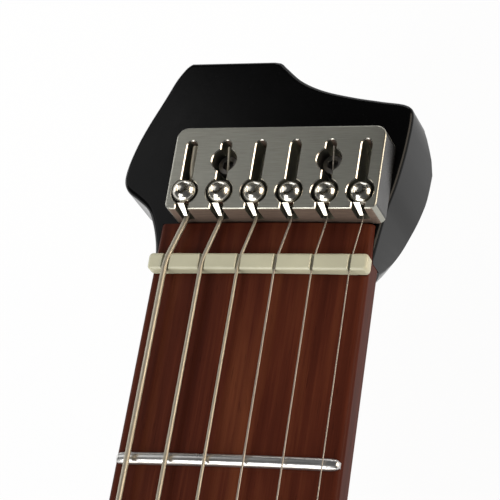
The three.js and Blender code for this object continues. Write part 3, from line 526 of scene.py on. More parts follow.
# %% Finishes
def new_material(name, colour, roughness, metallic=0):
    """A material with its plain values, its node tree and object coordinates in millimetres."""
    material = bpy.data.materials.new(name)
    material.use_nodes = True
    tree = material.node_tree
    shade(tree, {"Base Color": colour, "Roughness": roughness, "Metallic": metallic})
    return material, tree, mapped(tree, add_node(tree, "TexCoord").outputs["Object"], (1 / mm,) * 3)


def placed(tree, group, inputs):
    return add_node(tree, "Group", inputs, node_tree=group).outputs


def bumped(tree, height, strength, distance):
    inputs = {"Strength": strength, "Distance": distance, "Height": height}
    return add_node(tree, "Bump", inputs).outputs[0]


def tinted(colour, share):
    return tuple(share * c for c in colour)


def lacquer(name, colour, roughness):
    material, tree, millimetres = new_material(name, colour, roughness)
    marks = placed(tree, handling_group, {"Millimetres": millimetres})
    peel = noise(tree, millimetres, 0.9, 2, 0.4)
    shade(tree, {
        "Base Color": blended(tree, marks["Specks"], colour, tinted(colour, 2.2)),
        "Roughness": ranged(tree, marks["Marks"], 0, 1, roughness - 0.03, roughness + 0.05),
        "Specular IOR Level": 0.1,
        "Normal": bumped(tree, peel, 0.06, 0.05 * mm),
    })
    return material


def brushed(name, colour, dark, roughness, stretch, relief=0.25):
    material, tree, millimetres = new_material(name, colour, roughness, 1)
    lines = placed(tree, brushed_group, {"Millimetres": millimetres, "Stretch": stretch})
    by_line = ranged(tree, lines["Lines"], 0, 1, roughness + 0.08, roughness - 0.08)
    shade(tree, {
        "Base Color": blended(tree, lines["Lines"], dark, colour),
        "Roughness": arithmetic(tree, "ADD", by_line, ranged(tree, lines["Clouds"], 0, 1, -0.04, 0.05)),
        "Normal": bumped(tree, lines["Lines"], relief, 0.02 * mm),
    })
    return material


def polished(name, colour, roughness):
    material, tree, millimetres = new_material(name, colour, roughness, 1)
    marks = placed(tree, handling_group, {"Millimetres": millimetres})
    shade(tree, {
        "Base Color": blended(tree, marks["Specks"], colour, tinted(colour, 0.8)),
        "Roughness": ranged(tree, marks["Marks"], 0, 1, roughness, roughness + 0.1),
    })
    return material


def wooden(name, dark, middle, light, roughness, relief):
    material, tree, millimetres = new_material(name, middle, roughness)
    tones = {"Dark": dark, "Middle": middle, "Light": light}
    grain = placed(tree, wood, {"Millimetres": millimetres, **tones})
    shade(tree, {
        "Base Color": grain["Color"],
        "Roughness": ranged(tree, grain["Pores"], 0, 1, roughness, roughness + 0.25),
        "Specular IOR Level": 0.03,
        "Normal": bumped(tree, grain["Height"], relief, 0.06 * mm),
    })
    return material


def moulded(name, colour, roughness, grain=0.12):
    material, tree, millimetres = new_material(name, colour, roughness)
    marks = placed(tree, handling_group, {"Millimetres": millimetres})
    shade(tree, {
        "Base Color": blended(tree, marks["Marks"], colour, tinted(colour, 0.85)),
        "Roughness": ranged(tree, marks["Marks"], 0, 1, roughness - 0.06, roughness + 0.08),
        "Normal": bumped(tree, noise(tree, millimetres, 5, 3, 0.5), grain, 0.03 * mm),
    })
    return material


black_lacquer = lacquer("black_lacquer", (0.0016, 0.0016, 0.0017), 0.16)
lock_steel = brushed("lock_steel", (0.44, 0.432, 0.375), (0.33, 0.324, 0.28), 0.38, (0.25, 9, 9))
# A darker, warmer and rougher copy of the lock steel for the block's front faces. Its colour is painted shade
# and a painted reflection of the wooden board in front of it.
milled_steel = brushed("milled_steel", (0.34, 0.26, 0.21), (0.24, 0.18, 0.145), 0.68, (0.3, 6, 6))
# A far darker copy of the lock steel for the block's outer side walls: painted shade.
side_steel = brushed("side_steel", (0.08, 0.078, 0.076), (0.06, 0.0585, 0.057), 0.3, (0.3, 6, 6))
part_steel = brushed("part_steel", (0.42, 0.41, 0.39), (0.3, 0.29, 0.27), 0.34, (6, 0.3, 6))
black_metal = brushed("black_metal", (0.035, 0.035, 0.037), (0.022, 0.022, 0.023), 0.42, (0.6, 3, 3), 0.1)
polished_steel = polished("polished_steel", (0.72, 0.72, 0.71), 0.07)
dome_steel = polished("dome_steel", (0.6, 0.575, 0.51), 0.19)
fret_steel = polished("fret_steel", (0.62, 0.61, 0.59), 0.26)
nickel = polished("nickel", (0.6, 0.58, 0.53), 0.18)
dark_steel = polished("dark_steel", (0.16, 0.15, 0.14), 0.35)
plain_wire = polished("plain_wire", (0.4, 0.36, 0.31), 0.5)
wound_wire = polished("wound_wire", (0.52, 0.48, 0.39), 0.55)
board_wood = wooden(
    "board_wood", (0.046, 0.0098, 0.0052), (0.072, 0.016, 0.0078), (0.118, 0.033, 0.0135), 0.36, 0.15
)
neck_wood = wooden("neck_wood", (0.095, 0.026, 0.012), (0.145, 0.042, 0.019), (0.2, 0.065, 0.028), 0.4, 0.2)
nut_bone = moulded("nut_bone", (0.5, 0.48, 0.34), 0.36, 0.08)
pickup_plastic = moulded("pickup_plastic", (0.012, 0.012, 0.012), 0.42)
pearl = moulded("pearl_dots", (0.5, 0.49, 0.44), 0.3, 0.03)
pale_paint = moulded("pale_paint", (0.7, 0.7, 0.66), 0.5, 0.02)
print("finishes", len(bpy.data.materials))

# %% [markdown]
# The head block is one casting-like form: a plan with soft corners, a thick front part, a thin tip, and a flare
# that grows out of the neck's round back. The plan is raised and its rims are rounded while it is still a plain
# plate, because a bevel is cleanest there. Then its underside is moved to the side profile, and one cut with a
# loft of neck sections makes the flare.

# %% Head block
def smooth_loop(points, per_span, closed=True):
    """A curve through points in X and Y. Its slopes weigh near points more, so it doesn't overshoot."""
    points = [Vector(point) for point in points]
    count = len(points)
    found = []
    for i in range(count if closed else count - 1):
        if closed:
            a, b, c, d = [points[(i + k) % count] for k in (-1, 0, 1, 2)]
        else:
            a, b, c, d = [points[min(max(i + k, 0), count - 1)] for k in (-1, 0, 1, 2)]
        before, here, after = [max((q - p).length ** 0.5, hair) for p, q in ((a, b), (b, c), (c, d))]
        if a == b:
            before = here
        if c == d:
            after = here
        slope_b = ((b - a) / before - (c - a) / (before + here) + (c - b) / here) * here
        slope_c = ((c - b) / here - (d - b) / (here + after) + (d - c) / after) * here
        for step in range(per_span):
            t = step / per_span
            found.append(
                b * (2 * t ** 3 - 3 * t ** 2 + 1) + slope_b * (t ** 3 - 2 * t ** 2 + t)
                + c * (3 * t ** 2 - 2 * t ** 3) + slope_c * (t ** 3 - t ** 2)
            )
    if not closed:
        found.append(points[-1])
    return [tuple(point) for point in found]


def between(rows, place):
    """Reads a table of rows at a place, with straight runs between its rows."""
    for low, high in zip(rows, rows[1:]):
        if place <= high[0]:
            share = (place - low[0]) / (high[0] - low[0])
            return [a + (b - a) * share for a, b in zip(low[1:], high[1:])]
    return list(rows[-1][1:])


def neck_section(y, depth, treble, bass, top, points):
    """The round back of the neck at one place, with a half width and a power for each side."""
    centre = board_top - 1 * mm
    reach = depth - 1 * mm
    start = math.asin(((centre - top) / reach) ** (treble[1] / 2)) if top < centre else 0
    found = []
    for i in range(points):
        angle = start + (math.pi - 2 * start) * i / (points - 1)
        half, power = bass if angle < math.pi / 2 else treble
        side = math.copysign(abs(math.cos(angle)) ** (2 / power), math.cos(angle))
        found.append(Vector((-half * side, y, centre - reach * math.sin(angle) ** (2 / power))))
    return found


head_y = nut_y + 3.1 * mm
head_shift = 0.6 * mm
head_length = 41.9 * mm
head_half = 30.8 * mm
head_drop = 18.3 * mm
head_top = board_top - 1.5 * mm
head_plan = [
    (0.661, 0.0), (0.705, 0.246), (0.744, 0.379), (0.779, 0.58), (0.78, 0.735), (0.745, 0.764),
    (0.571, 0.789), (0.393, 0.812), (0.179, 0.852), (0.036, 0.902), (-0.078, 0.972), (-0.117, 0.995),
    (-0.4, 1.0), (-0.7, 1.0), (-0.775, 0.938), (-0.845, 0.821), (-0.963, 0.609), (-1.013, 0.458),
    (-1.013, 0.394), (-0.985, 0.353), (-0.905, 0.308), (-0.825, 0.257), (-0.775, 0.185), (-0.735, 0.09),
    (-0.715, 0.0),
]
# How deep the underside lies, as a share of the drop, from the nut to the tip.
head_under = [
    (0.0, 1.095), (0.26, 1.075), (0.52, 1.05), (0.61, 1.035), (0.66, 0.92), (0.73, 0.62), (1.0, 0.5),
]
# The flare on the treble and on the bass side: the half width at its start, the half width and the power where
# it is full, how both bend on the way, and the place where it is full.
treble_flare = (0.69, 0.935, 5.1, 1.14, 0.87, 0.478)
bass_flare = (0.72, 1.37, 4.5, 1.39, 2.12, 0.512)
flare_steps = 40
flare_overrun = 1.02
seat_gap = 0.06 * mm
seat_end = board_end_y + 0.35 * mm


def flare_at(along, start, full_half, full_power, half_bend, power_bend, place):
    grown, later = min(along / place, 1), max(along - place, 0)
    half = start + (full_half - start) * grown ** half_bend + 0.5 * later
    return half * head_half, 2 + (full_power - 2) * grown ** power_bend + 16 * later


plan = smooth_loop(head_plan, 5, closed=False)
plan = [(head_shift + x * head_half, head_y + min(y, 1.0) * head_length) for x, y in plan]
low = board_top - head_under[0][1] * head_drop
bm = raise_outline(plan, low, head_top)
rims = [e for e in level_edges(bm) if any(abs(v.co.y - head_y) > hair for v in e.verts)]
bevel_edges(bm, rims, 1.1 * mm, 4)
for share, _ in head_under[1:-1]:
    everything = list(bm.verts) + list(bm.edges) + list(bm.faces)
    place = (0, head_y + share * head_length, 0)
    bmesh.ops.bisect_plane(bm, geom=everything, plane_co=place, plane_no=(0, 1, 0))
for vert in bm.verts:
    if vert.co.z < low + 4 * mm:
        share = (vert.co.y - head_y) / head_length
        vert.co.z += board_top - between(head_under, share)[0] * head_drop - low
head_block = finish_mesh("head_block_shell", bm)

sections = []
for step in range(flare_steps + 1):
    along = flare_overrun * step / flare_steps
    section = neck_section(
        head_y - 0.2 * mm + along * (head_length + mm), head_under[0][1] * head_drop,
        flare_at(along, *treble_flare), flare_at(along, *bass_flare), board_top + 9 * mm, 60,
    )
    for point in section:
        point.x += head_shift
    ends = [Vector((point.x, point.y, head_top + 4 * mm)) for point in (section[0], section[-1])]
    sections.append([ends[0], *section, ends[1]])
bm = bmesh.new()
add_loft(bm, sections)
carve(head_block, [finish_mesh("flare", bm, recalc=True)], "INTERSECT")
seat = [
    (side * (board_half(y) + seat_gap), y)
    for side, y in ((-1, head_y - mm), (1, head_y - mm), (1, seat_end), (-1, seat_end))
]
carve(head_block, [plate("seat", seat, board_top - 6.3 * mm, board_top + mm)])
dress(head_block, "root", black_lacquer, "black_lacquer", "head_block")
print("head block", len(head_block.data.polygons), "faces")

# %% [markdown]
# The lock block shows the most work close up. Each string runs through a narrow slot and is held down by a
# screw with a polished dome, which stands in a round pocket that breaks out through the front face. All these
# openings have a fine polished chamfer. Each cutter is a plan raised straight up, with its upper part spread
# at forty-five degrees, so that one cut makes both the wall and the chamfer. The chamfers take the polished
# finish by the direction that their faces look in, which keeps the brushed top and the bright edges apart.

# %% String lock block
lock_front = nut_y + 10.6 * mm
lock_low = head_top + 0.3 * mm
lock_high = lock_low + 6.3 * mm
lock_width = 41 * mm
lock_length = 16.8 * mm
lock_centre = 2.2 * mm
lock_x = [lock_centre + 6.82 * mm * (2.5 - i) for i in range(strings)]
lock_chamfer = 0.16 * mm
slot_floor = lock_low + 2 * mm
slot_length = lock_length - 2.8 * mm
slot_middle = lock_front + slot_length / 2
clamp_y = lock_front + 3.6 * mm
pocket_radius = 2.6 * mm
counterbore_radius = 2.4 * mm
lock_screw_y = lock_front + 10 * mm
screwed_strings = (1, 4)

plan = rounded_rectangle(
    (lock_centre, lock_front + lock_length / 2), (lock_width, lock_length), 2.2 * mm, 12, 1.3 * mm
)
bm = raise_outline(plan, lock_low, lock_high)
top_rim = [e for e in bm.edges if all(v.co.z > lock_high - hair for v in e.verts)]
bevel_edges(bm, top_rim, 0.4 * mm, 4)
lock_block = finish_mesh("string_lock_block_shell", bm)
cutters = []
for x in lock_x:
    for name, middle, width, length, corner, low in (
        ("slot", slot_middle, 2 * mm, slot_length, 0.98 * mm, slot_floor),
        ("mouth", lock_front, 2.5 * mm, 7.2 * mm, 0.3 * mm, slot_floor - 0.1 * mm),
    ):
        cutters.append(chamfered(
            name,
            lambda grow: rounded_rectangle((x, middle), (width + 2 * grow, length + 2 * grow), corner + grow),
            low, lock_high, lock_chamfer,
        ))
    cutters.append(chamfered(
        "pocket", lambda grow: circle(x, clamp_y, pocket_radius + grow), slot_floor - 0.05 * mm, lock_high,
        lock_chamfer,
    ))
for i in screwed_strings:
    cutters.append(chamfered(
        "counterbore", lambda grow: circle(lock_x[i], lock_screw_y, counterbore_radius + grow),
        lock_low + 1.7 * mm, lock_high, lock_chamfer,
    ))
carve(lock_block, cutters, angle=25)
dress(lock_block, "root", lock_steel, "brushed_steel", "string_lock_block")
# Faces get finishes by the way they look. The chamfers take the polished steel. The front faces and the outer
# side walls take the darker copies, which paint shade onto them.
for finish in (dome_steel, milled_steel, side_steel):
    lock_block.data.materials.append(finish)
for face in lock_block.data.polygons:
    if 0.66 < face.normal.z < 0.75:
        face.material_index = 1
    # Front faces take the darker, warmer copy of the steel: painted shade and a painted reflection of the
    # board.
    elif face.normal.y < -0.9:
        face.material_index = 2
    # Outer side walls take the far darker copy of the steel: painted shade.
    elif abs(face.normal.x) > 0.9 and abs(face.center.x - lock_centre) > lock_width / 2 - mm:
        face.material_index = 3
print("lock block", len(lock_block.data.polygons), "faces")

# %% [markdown]
# The clamp screws are turned: a straight shank with a mirror dome and a hexagonal socket. A turned piece is
# one spun profile, and the socket is one cut. Each rides on its own body, because each turns on its own. In
# front of each a bright tongue slopes down to the string. The two plain screws that hold the block sit deep
# in their holes.

# %% Clamp screws and lock block screws
# The first three are in millimetres, as the rows of a turned piece are.
clamp_radius = 2.05
dome_radius = 2.3
clamp_shoulder = 2.2
tongue_wall = clamp_y - (dome_radius + 0.02) * mm
tongue_nose = lock_front - 0.3 * mm
tongue_top = lock_low + 6.1 * mm
tongue_lip = lock_low + 4 * mm
tongue_sides = [side * mm for side in (-1, 0.2, 0.5, -0.15)]


def hex_cutter(place, reach, depth, chamfer=0.12 * mm):
    x, y, top = place
    return chamfered("hexagon", lambda grow: hexagon(x, y, reach + grow), top - depth, top, chamfer)


for number, x in enumerate(lock_x, 1):
    low, high = heights(f"clamp_screw_{number}")
    rows = [(0, 0), (clamp_radius - 0.5, 0), (clamp_radius, 0.5)]
    for a in [math.pi / 2 * step / 18 for step in range(19)]:
        rows.append((dome_radius * math.cos(a), clamp_shoulder + clamp_radius * math.sin(a)))
    screw = turned_piece(f"clamp_screw_{number}_turned", rows, (x, clamp_y, low))
    carve(screw, [hex_cutter((x, clamp_y, high - 0.1 * mm), 0.95 * mm, 1.5 * mm, 0.25 * mm)])
    dress(screw, f"clamp_screw_{number}", dome_steel, "polished_steel", f"clamp_screw_{number}")
for number, (x, diameter) in enumerate(zip(lock_x, string_diameters), 1):
    foot = slot_floor + 0.35 * mm + diameter
    front = ((tongue_wall, tongue_top),) * 2 + ((tongue_nose, tongue_lip),) * 2
    back = ((tongue_wall, tongue_top),) * 2 + ((tongue_wall, foot),) * 2
    bm = bmesh.new()
    add_loft(bm, [
        [Vector((x + side, y, z)) for side, (y, z) in zip(tongue_sides, places)] for places in (front, back)
    ])
    tongue = finish_mesh(f"clamp_tongue_{number}", bm, recalc=True)
    dress(tongue, "root", dome_steel, "polished_steel")
for number, i in enumerate(screwed_strings, 1):
    x = lock_x[i]
    low = lock_low + 2 * mm
    rows = [(0, -9), (1.3, -9), (1.3, 0), (2, 0), (2, 1.8), (1.8, 2), (0, 2)]
    screw = turned_piece(f"lock_block_screw_{number}_turned", rows, (x, lock_screw_y, low))
    carve(screw, [hex_cutter((x, lock_screw_y, low + 2 * mm), 1.05 * mm, 1.2 * mm)])
    dress(screw, "root", dark_steel, "plain_steel", f"lock_block_screw_{number}")
print("clamp screws", [round(x / mm, 2) for x in lock_x])

# %% [markdown]
# The nut is a cream bar with soft ends and a tongue below that sits in a closed channel of the board. It gets
# its shape as a rounded plate, a bevel all round, and six narrow slots that the strings lie in, each a little
# wider than its string and open to the top.

# %% Nut
nut_low, nut_top = board_top - 0.9 * mm, board_top + 1.9 * mm
nut_tongue_half = 19 * mm
nut_x = [18.085 * mm - 7.13 * mm * i for i in range(strings)]
nut_z = [board_top + 1.2 * mm + d / 2 for d in string_diameters]
nut = plate(
    "nut_cream", rounded_rectangle((0.2 * mm, nut_middle), (42.6 * mm, nut_length), 0.8 * mm),
    nut_low, nut_top, 0.6 * mm, 6,
)
carve(nut, [block(
    "tongue", (-nut_tongue_half, nut_y, board_top - 2.9 * mm),
    (nut_tongue_half, nut_y + nut_length, nut_low + 0.7 * mm),
)], "UNION")
cutters = []
for x, z, diameter in zip(nut_x, nut_z, string_diameters):
    half = diameter / 2 + 0.12 * mm
    cutters.append(chamfered(
        "nut_slot",
        lambda grow: rounded_rectangle((x, nut_middle), (2 * (half + grow), 6 * mm), half * 0.9, 4),
        z - diameter / 2 - 0.05 * mm, nut_top, 0.15 * mm,
    ))
carve(nut, cutters)
dress(nut, "root", nut_bone, "nut_bone", "nut")
print("nut", len(nut.data.polygons), "faces")

# %% [markdown]
# The fretboard is a slab with a top that follows a large radius from edge to edge. Its grain runs along the
# strings. The frets are crowned bars, laid on the same radius, with rounded ends. Both stand in for the one
# board node. Small pale dots mark the usual frets.

# %% Fretboard and frets
channel_gap = 0.05 * mm
channel_start, channel_end = nut_y - channel_gap, nut_y + nut_length + channel_gap
fret_half_width = 1.15 * mm
fret_high = 1.1 * mm
fret_foot = 0.6 * mm
fret_end = 1.2 * mm
fret_stations = [-1, -0.995, -0.985, -0.97] + [i / 12 for i in range(-11, 12)] + [0.97, 0.985, 0.995, 1]
dotted_frets = (3, 5, 7, 9, 12, 15, 17, 19, 21, 24)
double_dot_x = 10.5 * mm
dot_radius = 2.4 * mm


def board_z(x):
    return board_top + math.sqrt(board_radius * board_radius - x * x) - board_radius


sections = []
for y in (board_heel_y, board_end_y):
    half = board_half(y)
    ring = [Vector((x, y, board_z(x))) for x in [half * (2 * i / 24 - 1) for i in range(25)]]
    sections.append(ring + [Vector((side * half, y, board_top - board_thickness)) for side in (1, -1)])
bm = bmesh.new()
add_loft(bm, sections)
bmesh.ops.recalc_face_normals(bm, faces=bm.faces)
long_edges = [
    e for e in sharp_edges(bm, 45)
    if abs(e.verts[0].co.y - e.verts[1].co.y) > mm and e.verts[0].co.z > board_top - 3 * mm
]
bevel_edges(bm, long_edges, 1.1 * mm, 6)
bevel_edges(bm, sharp_edges(bm, 45), 0.25 * mm, 2)
fretboard = finish_mesh("fretboard_slab", bm)
carve(fretboard, [
    block(name, (-half, channel_start, board_top - deep), (half, channel_end, high))
    for name, half, deep, high in (
        ("nut_flat", 40 * mm, mm, board_top + 3 * mm),
        ("nut_channel", nut_tongue_half + 0.1 * mm, 3 * mm, board_top),
    )
])
dress(fretboard, "root", board_wood, "board_wood", "fretboard")

bm = bmesh.new()
for number in range(1, fret_count + 1):
    y = fret_y(number)
    half = board_half(y) - 0.3 * mm
    sections = []
    for share in fret_stations:
        x = half * share
        rounding = min(1, half * (1 - abs(share)) / fret_end)
        shrink = max(math.sqrt(1 - (1 - rounding) ** 2), 0.12)
        width = fret_half_width * max(shrink, 0.5)
        crown = [(math.cos(a), math.sin(a) ** 0.85) for a in [math.pi * step / 8 for step in range(9)]]
        ring = [Vector((x, y + width * across, board_z(x) + fret_high * shrink * up)) for across, up in crown]
        feet = [Vector((x, y + width * side, board_z(x) - fret_foot)) for side in (1, -1)]
        sections.append([feet[0], *ring, feet[1]])
    add_loft(bm, sections)
frets = finish_mesh("frets_polished", bm, 40, recalc=True)
dress(frets, "root", fret_steel, "board_wood", "fretboard")

bm = bmesh.new()
for number in dotted_frets:
    y = (fret_y(number) + fret_y(number - 1)) / 2
    for x in ((-double_dot_x, double_dot_x) if number % 12 == 0 else (0,)):
        z = board_z(x)
        add_cone(bm, dot_radius, dot_radius, (x, y, z - mm), (x, y, z + 0.03 * mm), 40)
dots = finish_mesh("position_dots", bm)
dress(dots, "root", pearl, "board_wood", "fretboard")
print("frets", fret_count, "board", [round(v / mm, 1) for v in (board_heel_y, board_end_y)])

# %% [markdown]
# The neck is one smooth skin over sections: round under the board, squarer and deeper at the heel. The sections
# lie close together, so that the change from round to square shows no steps.

# %% Neck
neck_rows = [
    (34 * mm, 25.7 * mm, 9), (95 * mm, 25.7 * mm, 9), (105 * mm, 25.7 * mm, 5.5), (125 * mm, 21.8 * mm, 2),
    (fret_y(12), 21.8 * mm, 2), (nut_y + 2.8 * mm, 20 * mm, 2),
]
neck_stops = [34, 60, 90, 95, *range(98, 132, 3), 160, 204, 260, 320, 380, 440, 500, 530.8]
sections = []
for y in [stop * mm for stop in neck_stops]:
    depth, power = between(neck_rows, y)
    side = (board_half(y), power)
    sections.append(neck_section(y, depth, side, side, board_top - board_thickness - 0.05 * mm, 33))
bm = bmesh.new()
add_loft(bm, sections)
neck = finish_mesh("neck_carved", bm, 50, recalc=True)
carve(neck, [
    post("screw_hole", (x, y, 20 * mm), (x, y, 38.5 * mm), 2.2 * mm, 24) for x, y in neck_screw_places
], angle=50)
dress(neck, "root", neck_wood, "neck_wood", "neck")
print("neck", len(neck.data.polygons), "faces")

# %% [markdown]
# A string is a sweep: rings of points set along its route, square to it. The three thick strings are wound, so
# their rings swell and shrink once per turn of the wrap wire. A plain string needs few rings. At the saddle and
# the nut the route turns through a short curve, as steel wire does. In the lock block most strings end on the
# slot's floor, two climb over the block's screws, and the thickest one stands up out of its slot.

# %% Strings
rod_z = 50.3 * mm
bridge_x = [26.25 * mm - 10.5 * mm * i for i in range(strings)]
rest_y = [saddle_y - 3 * mm * share for share in (0.1, 0.35, 0.6, 0.3, 0.6, 1.0)]
lock_z = [slot_floor + 0.3 * mm + d / 2 for d in string_diameters]
slot_end = lock_front + 14 * mm
wrap_pitch = [0, 0, 0, 0.24 * mm, 0.3 * mm, 0.38 * mm]
plain_spacing = 1.5 * mm
bare_core = 0.26 * mm
bare_string, bare_length = 4, 11 * mm
thickest = 5


def soft_route(points, reach=1.4 * mm, steps=6):
    """Straight runs between points, joined by short curves."""
    points = [Vector(point) for point in points]
    found = [points[0]]
    for a, b, c in zip(points, points[1:], points[2:]):
        start = b + (a - b).normalized() * min(reach, (a - b).length / 2.2)
        end = b + (c - b).normalized() * min(reach, (c - b).length / 2.2)
        for t in [step / steps for step in range(steps + 1)]:
            found.append(start * (1 - t) ** 2 + b * 2 * t * (1 - t) + end * t * t)
    found.append(points[-1])
    return found


def stations_on(route, spacing):
    """Places at even distances along a route, each with its direction and distance."""
    found, travelled, ahead = [], 0.0, 0.0
    for a, b in zip(route, route[1:]):
        run = (b - a).length
        while ahead <= travelled + run:
            found.append((a + (b - a) * ((ahead - travelled) / run), (b - a).normalized(), ahead))
            ahead += spacing
        travelled += run
    found.append((route[-1], (route[-1] - route[-2]).normalized(), travelled))
    return found


def sweep(name, places, radius_at, sides=8):
    sections = []
    for k, (point, direction, distance) in enumerate(places):
        side = direction.cross(Vector((0, 0, 1))).normalized()
        over = side.cross(direction)
        sections.append([point + side * u + over * v for u, v in circle(0, 0, radius_at(k, distance), sides)])
    bm = bmesh.new()
    add_loft(bm, sections)
    bmesh.ops.recalc_face_normals(bm, faces=bm.faces)
    return finish_mesh(name, bm, 60)


for i, diameter in enumerate(string_diameters):
    x, number, wound = lock_x[i], i + 1, i >= first_wound
    if i == thickest:
        ends = [
            (x + 0.35 * mm, clamp_y + 4.4 * mm, lock_high - 1.3 * mm),
            (x + 0.4 * mm, slot_end - 0.8 * mm, lock_high - 0.9 * mm),
        ]
    elif i in screwed_strings:
        ends = [(x + 0.35 * mm, slot_end - 1 * mm, lock_high - 0.7 * mm)]
    else:
        ends = [(x, slot_end - 0.6 * mm, lock_z[i])]
    route = soft_route([
        (bridge_x[i], -143.5 * mm, rod_z),
        (bridge_x[i], rest_y[i] - 2.8 * mm, board_top + 4 * mm),
        (nut_x[i], nut_middle, nut_z[i]),
        (x, lock_front - 0.2 * mm, lock_z[i]),
        (x, clamp_y + 2.6 * mm, lock_z[i]),
        *ends,
    ])
    places = stations_on(route, wrap_pitch[i] / 2 if wound else plain_spacing)
    bare_from = places[-1][2] - bare_length if i == bare_string else math.inf

    def radius_at(k, distance):
        if distance > bare_from:
            return bare_core
        return diameter / 2 * (0.86 if wound and k % 2 == 0 else 1)

    wire = sweep(f"string_{number}_wire", places, radius_at)
    dress(wire, "root", wound_wire if wound else plain_wire, "string_wire", f"string_{number}")
print("strings", [round(d / mm, 2) for d in string_diameters])

# %% [markdown]
# The body is a slab with a smooth double-cutaway plan. Its rims are rounded while it is a plain plate, and then
# everything else is cut: the slope for the forearm, the hollow for the ribs, the pocket for the neck, the
# pickup cavities, the control cavity with its cover's seat, and the opening at the tail that gives the fingers
# room round the thumb nuts.

# %% Body
body_tail_y = -200 * mm
body_length = 365 * mm
body_half = 158 * mm
body_plan = [
    (0.0, 0.0), (0.32, 0.002), (0.6, 0.03), (0.86, 0.12), (0.965, 0.26), (0.9, 0.4), (0.775, 0.52),
    (0.715, 0.62), (0.745, 0.74), (0.765, 0.85), (0.7, 0.9), (0.58, 0.862), (0.42, 0.8), (0.24, 0.792),
    (0.0, 0.8), (-0.24, 0.808), (-0.4, 0.835), (-0.55, 0.905), (-0.69, 0.985), (-0.785, 0.99),
    (-0.83, 0.92), (-0.8, 0.8), (-0.755, 0.67), (-0.775, 0.56), (-0.9, 0.43), (-1.0, 0.28), (-0.92, 0.13),
    (-0.64, 0.03), (-0.32, 0.002),
]
control_places = {
    "volume": (80 * mm, -82 * mm), "tone": (92 * mm, -120 * mm), "selector": (98 * mm, -57 * mm),
}
cavity = (88 * mm, -92 * mm)
jack_y, jack_z = -100 * mm, 21 * mm
pickup_y = {"bridge_pickup": -78 * mm, "neck_pickup": 13 * mm}
pocket_gap = 0.4 * mm
pocket_end = 170 * mm
forearm_reach, forearm_depth = 74 * mm, 15 * mm
ribs_reach, ribs_depth, ribs_radius = 62 * mm, 13 * mm, 130 * mm
below, above = -4 * mm, body_thickness + 4 * mm

plan = [(x * body_half, body_tail_y + y * body_length) for x, y in body_plan]
bm = raise_outline(smooth_loop(plan, 8), 0, body_thickness)
bevel_edges(bm, level_edges(bm), 6 * mm, 7)
body = finish_mesh("body_lacquered", bm)

slope = math.atan2(forearm_depth, forearm_reach)
reach = forearm_reach / math.cos(slope) + 4 * mm
bm = bmesh.new()
made = add_block(bm, (-2 * reach, -165 * mm, 0), (0, 165 * mm, body_thickness))
place = (
    Matrix.Translation((0, -70 * mm, 0)) @ Matrix.Rotation(0.42, 4, "Z")
    @ Matrix.Translation((forearm_reach - body_half, 0, body_thickness)) @ Matrix.Rotation(-slope, 4, "Y")
)
bmesh.ops.transform(bm, matrix=place, verts=made)
cutters = [finish_mesh("forearm", bm)]
slope = math.atan2(ribs_depth, ribs_reach)
half = ribs_reach + ribs_radius * math.sin(slope)
bm = bmesh.new()
made = add_cone(bm, ribs_radius, ribs_radius, (-half, 0, -ribs_radius), (half, 0, -ribs_radius), 220)
place = (
    Matrix.Translation((-120 * mm, 8 * mm, 0)) @ Matrix.Rotation(0.12, 4, "Z")
    @ Matrix.Translation((0, 0, ribs_depth)) @ Matrix.Rotation(slope, 4, "Y")
)
bmesh.ops.transform(bm, matrix=place, verts=made)
cutters.append(finish_mesh("ribs", bm))
heel_half, end_half = board_half_at_heel + pocket_gap, board_half(pocket_end) + pocket_gap
pocket = [
    (-heel_half, board_heel_y - pocket_gap), (heel_half, board_heel_y - pocket_gap),
    (end_half, pocket_end), (-end_half, pocket_end),
]
cutters += [
    plate(name, plan, low, high) for name, plan, low, high in (
        ("pocket", pocket, body_thickness - 16 * mm, above),
        ("tail", rounded_rectangle((0, body_tail_y), (80 * mm, 43 * mm), 8 * mm), below, above),
        ("cavity", rounded_rectangle(cavity, (56 * mm, 100 * mm), 14 * mm), below, 36 * mm),
        ("seat", rounded_rectangle(cavity, (66.6 * mm, 110.6 * mm), 19.3 * mm), below, 2.8 * mm),
    )
]
for y in pickup_y.values():
    plan = rounded_rectangle((0, y), (71 * mm, 38 * mm), 4.5 * mm)
    cutters.append(plate("pickup", plan, 25.7 * mm, above))
for name, (x, y) in control_places.items():
    radius = 6.1 * mm if name == "selector" else 4.1 * mm
    cutters.append(plate(name, circle(x, y, radius, 32), 30 * mm, above))
for x, y in neck_screw_places:
    cutters.append(plate("recess", circle(x, y, 4.7 * mm, 32), below, 4 * mm))
    cutters.append(plate("screw", circle(x, y, 2.4 * mm, 24), below, above))
jack_low, jack_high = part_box("output_jack")
jack_inner, jack_face = jack_low[0], jack_high[0]
for radius, inner, outer in (
    (8.3 * mm, jack_face - 2.6 * mm, jack_face + 8 * mm), (5.7 * mm, jack_inner - mm, jack_face)
):
    cutters.append(post("jack", (inner, jack_y, jack_z), (outer, jack_y, jack_z), radius, 48))
carve(body, cutters, angle=30)
dress(body, "root", black_lacquer, "black_lacquer", "guitar_body")
print("body", len(body.data.polygons), "faces")

# %% [markdown]
# The bridge is a tray: a base plate with two low side walls and a higher block at the back that the tuner rods
# pass through. In it sit six saddles and six carriages, side by side. All of them are blocks with small bevels,
# cut by slots and bores. A cap screw is turned with a bevelled rim, and its socket is cut before it is placed.

# %% Bridge
frame_low, frame_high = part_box("bridge_frame")
bridge_half, bridge_front, bridge_high = frame_high
bridge_rear, bridge_low = frame_low[1], frame_low[2]
tray_floor = bridge_low + 3 * mm
wall_top = tray_floor + 7 * mm
wall_thickness = 3.6 * mm
block_front = bridge_rear + 14 * mm
bore_radius = 1.9 * mm
clear = 9 * mm

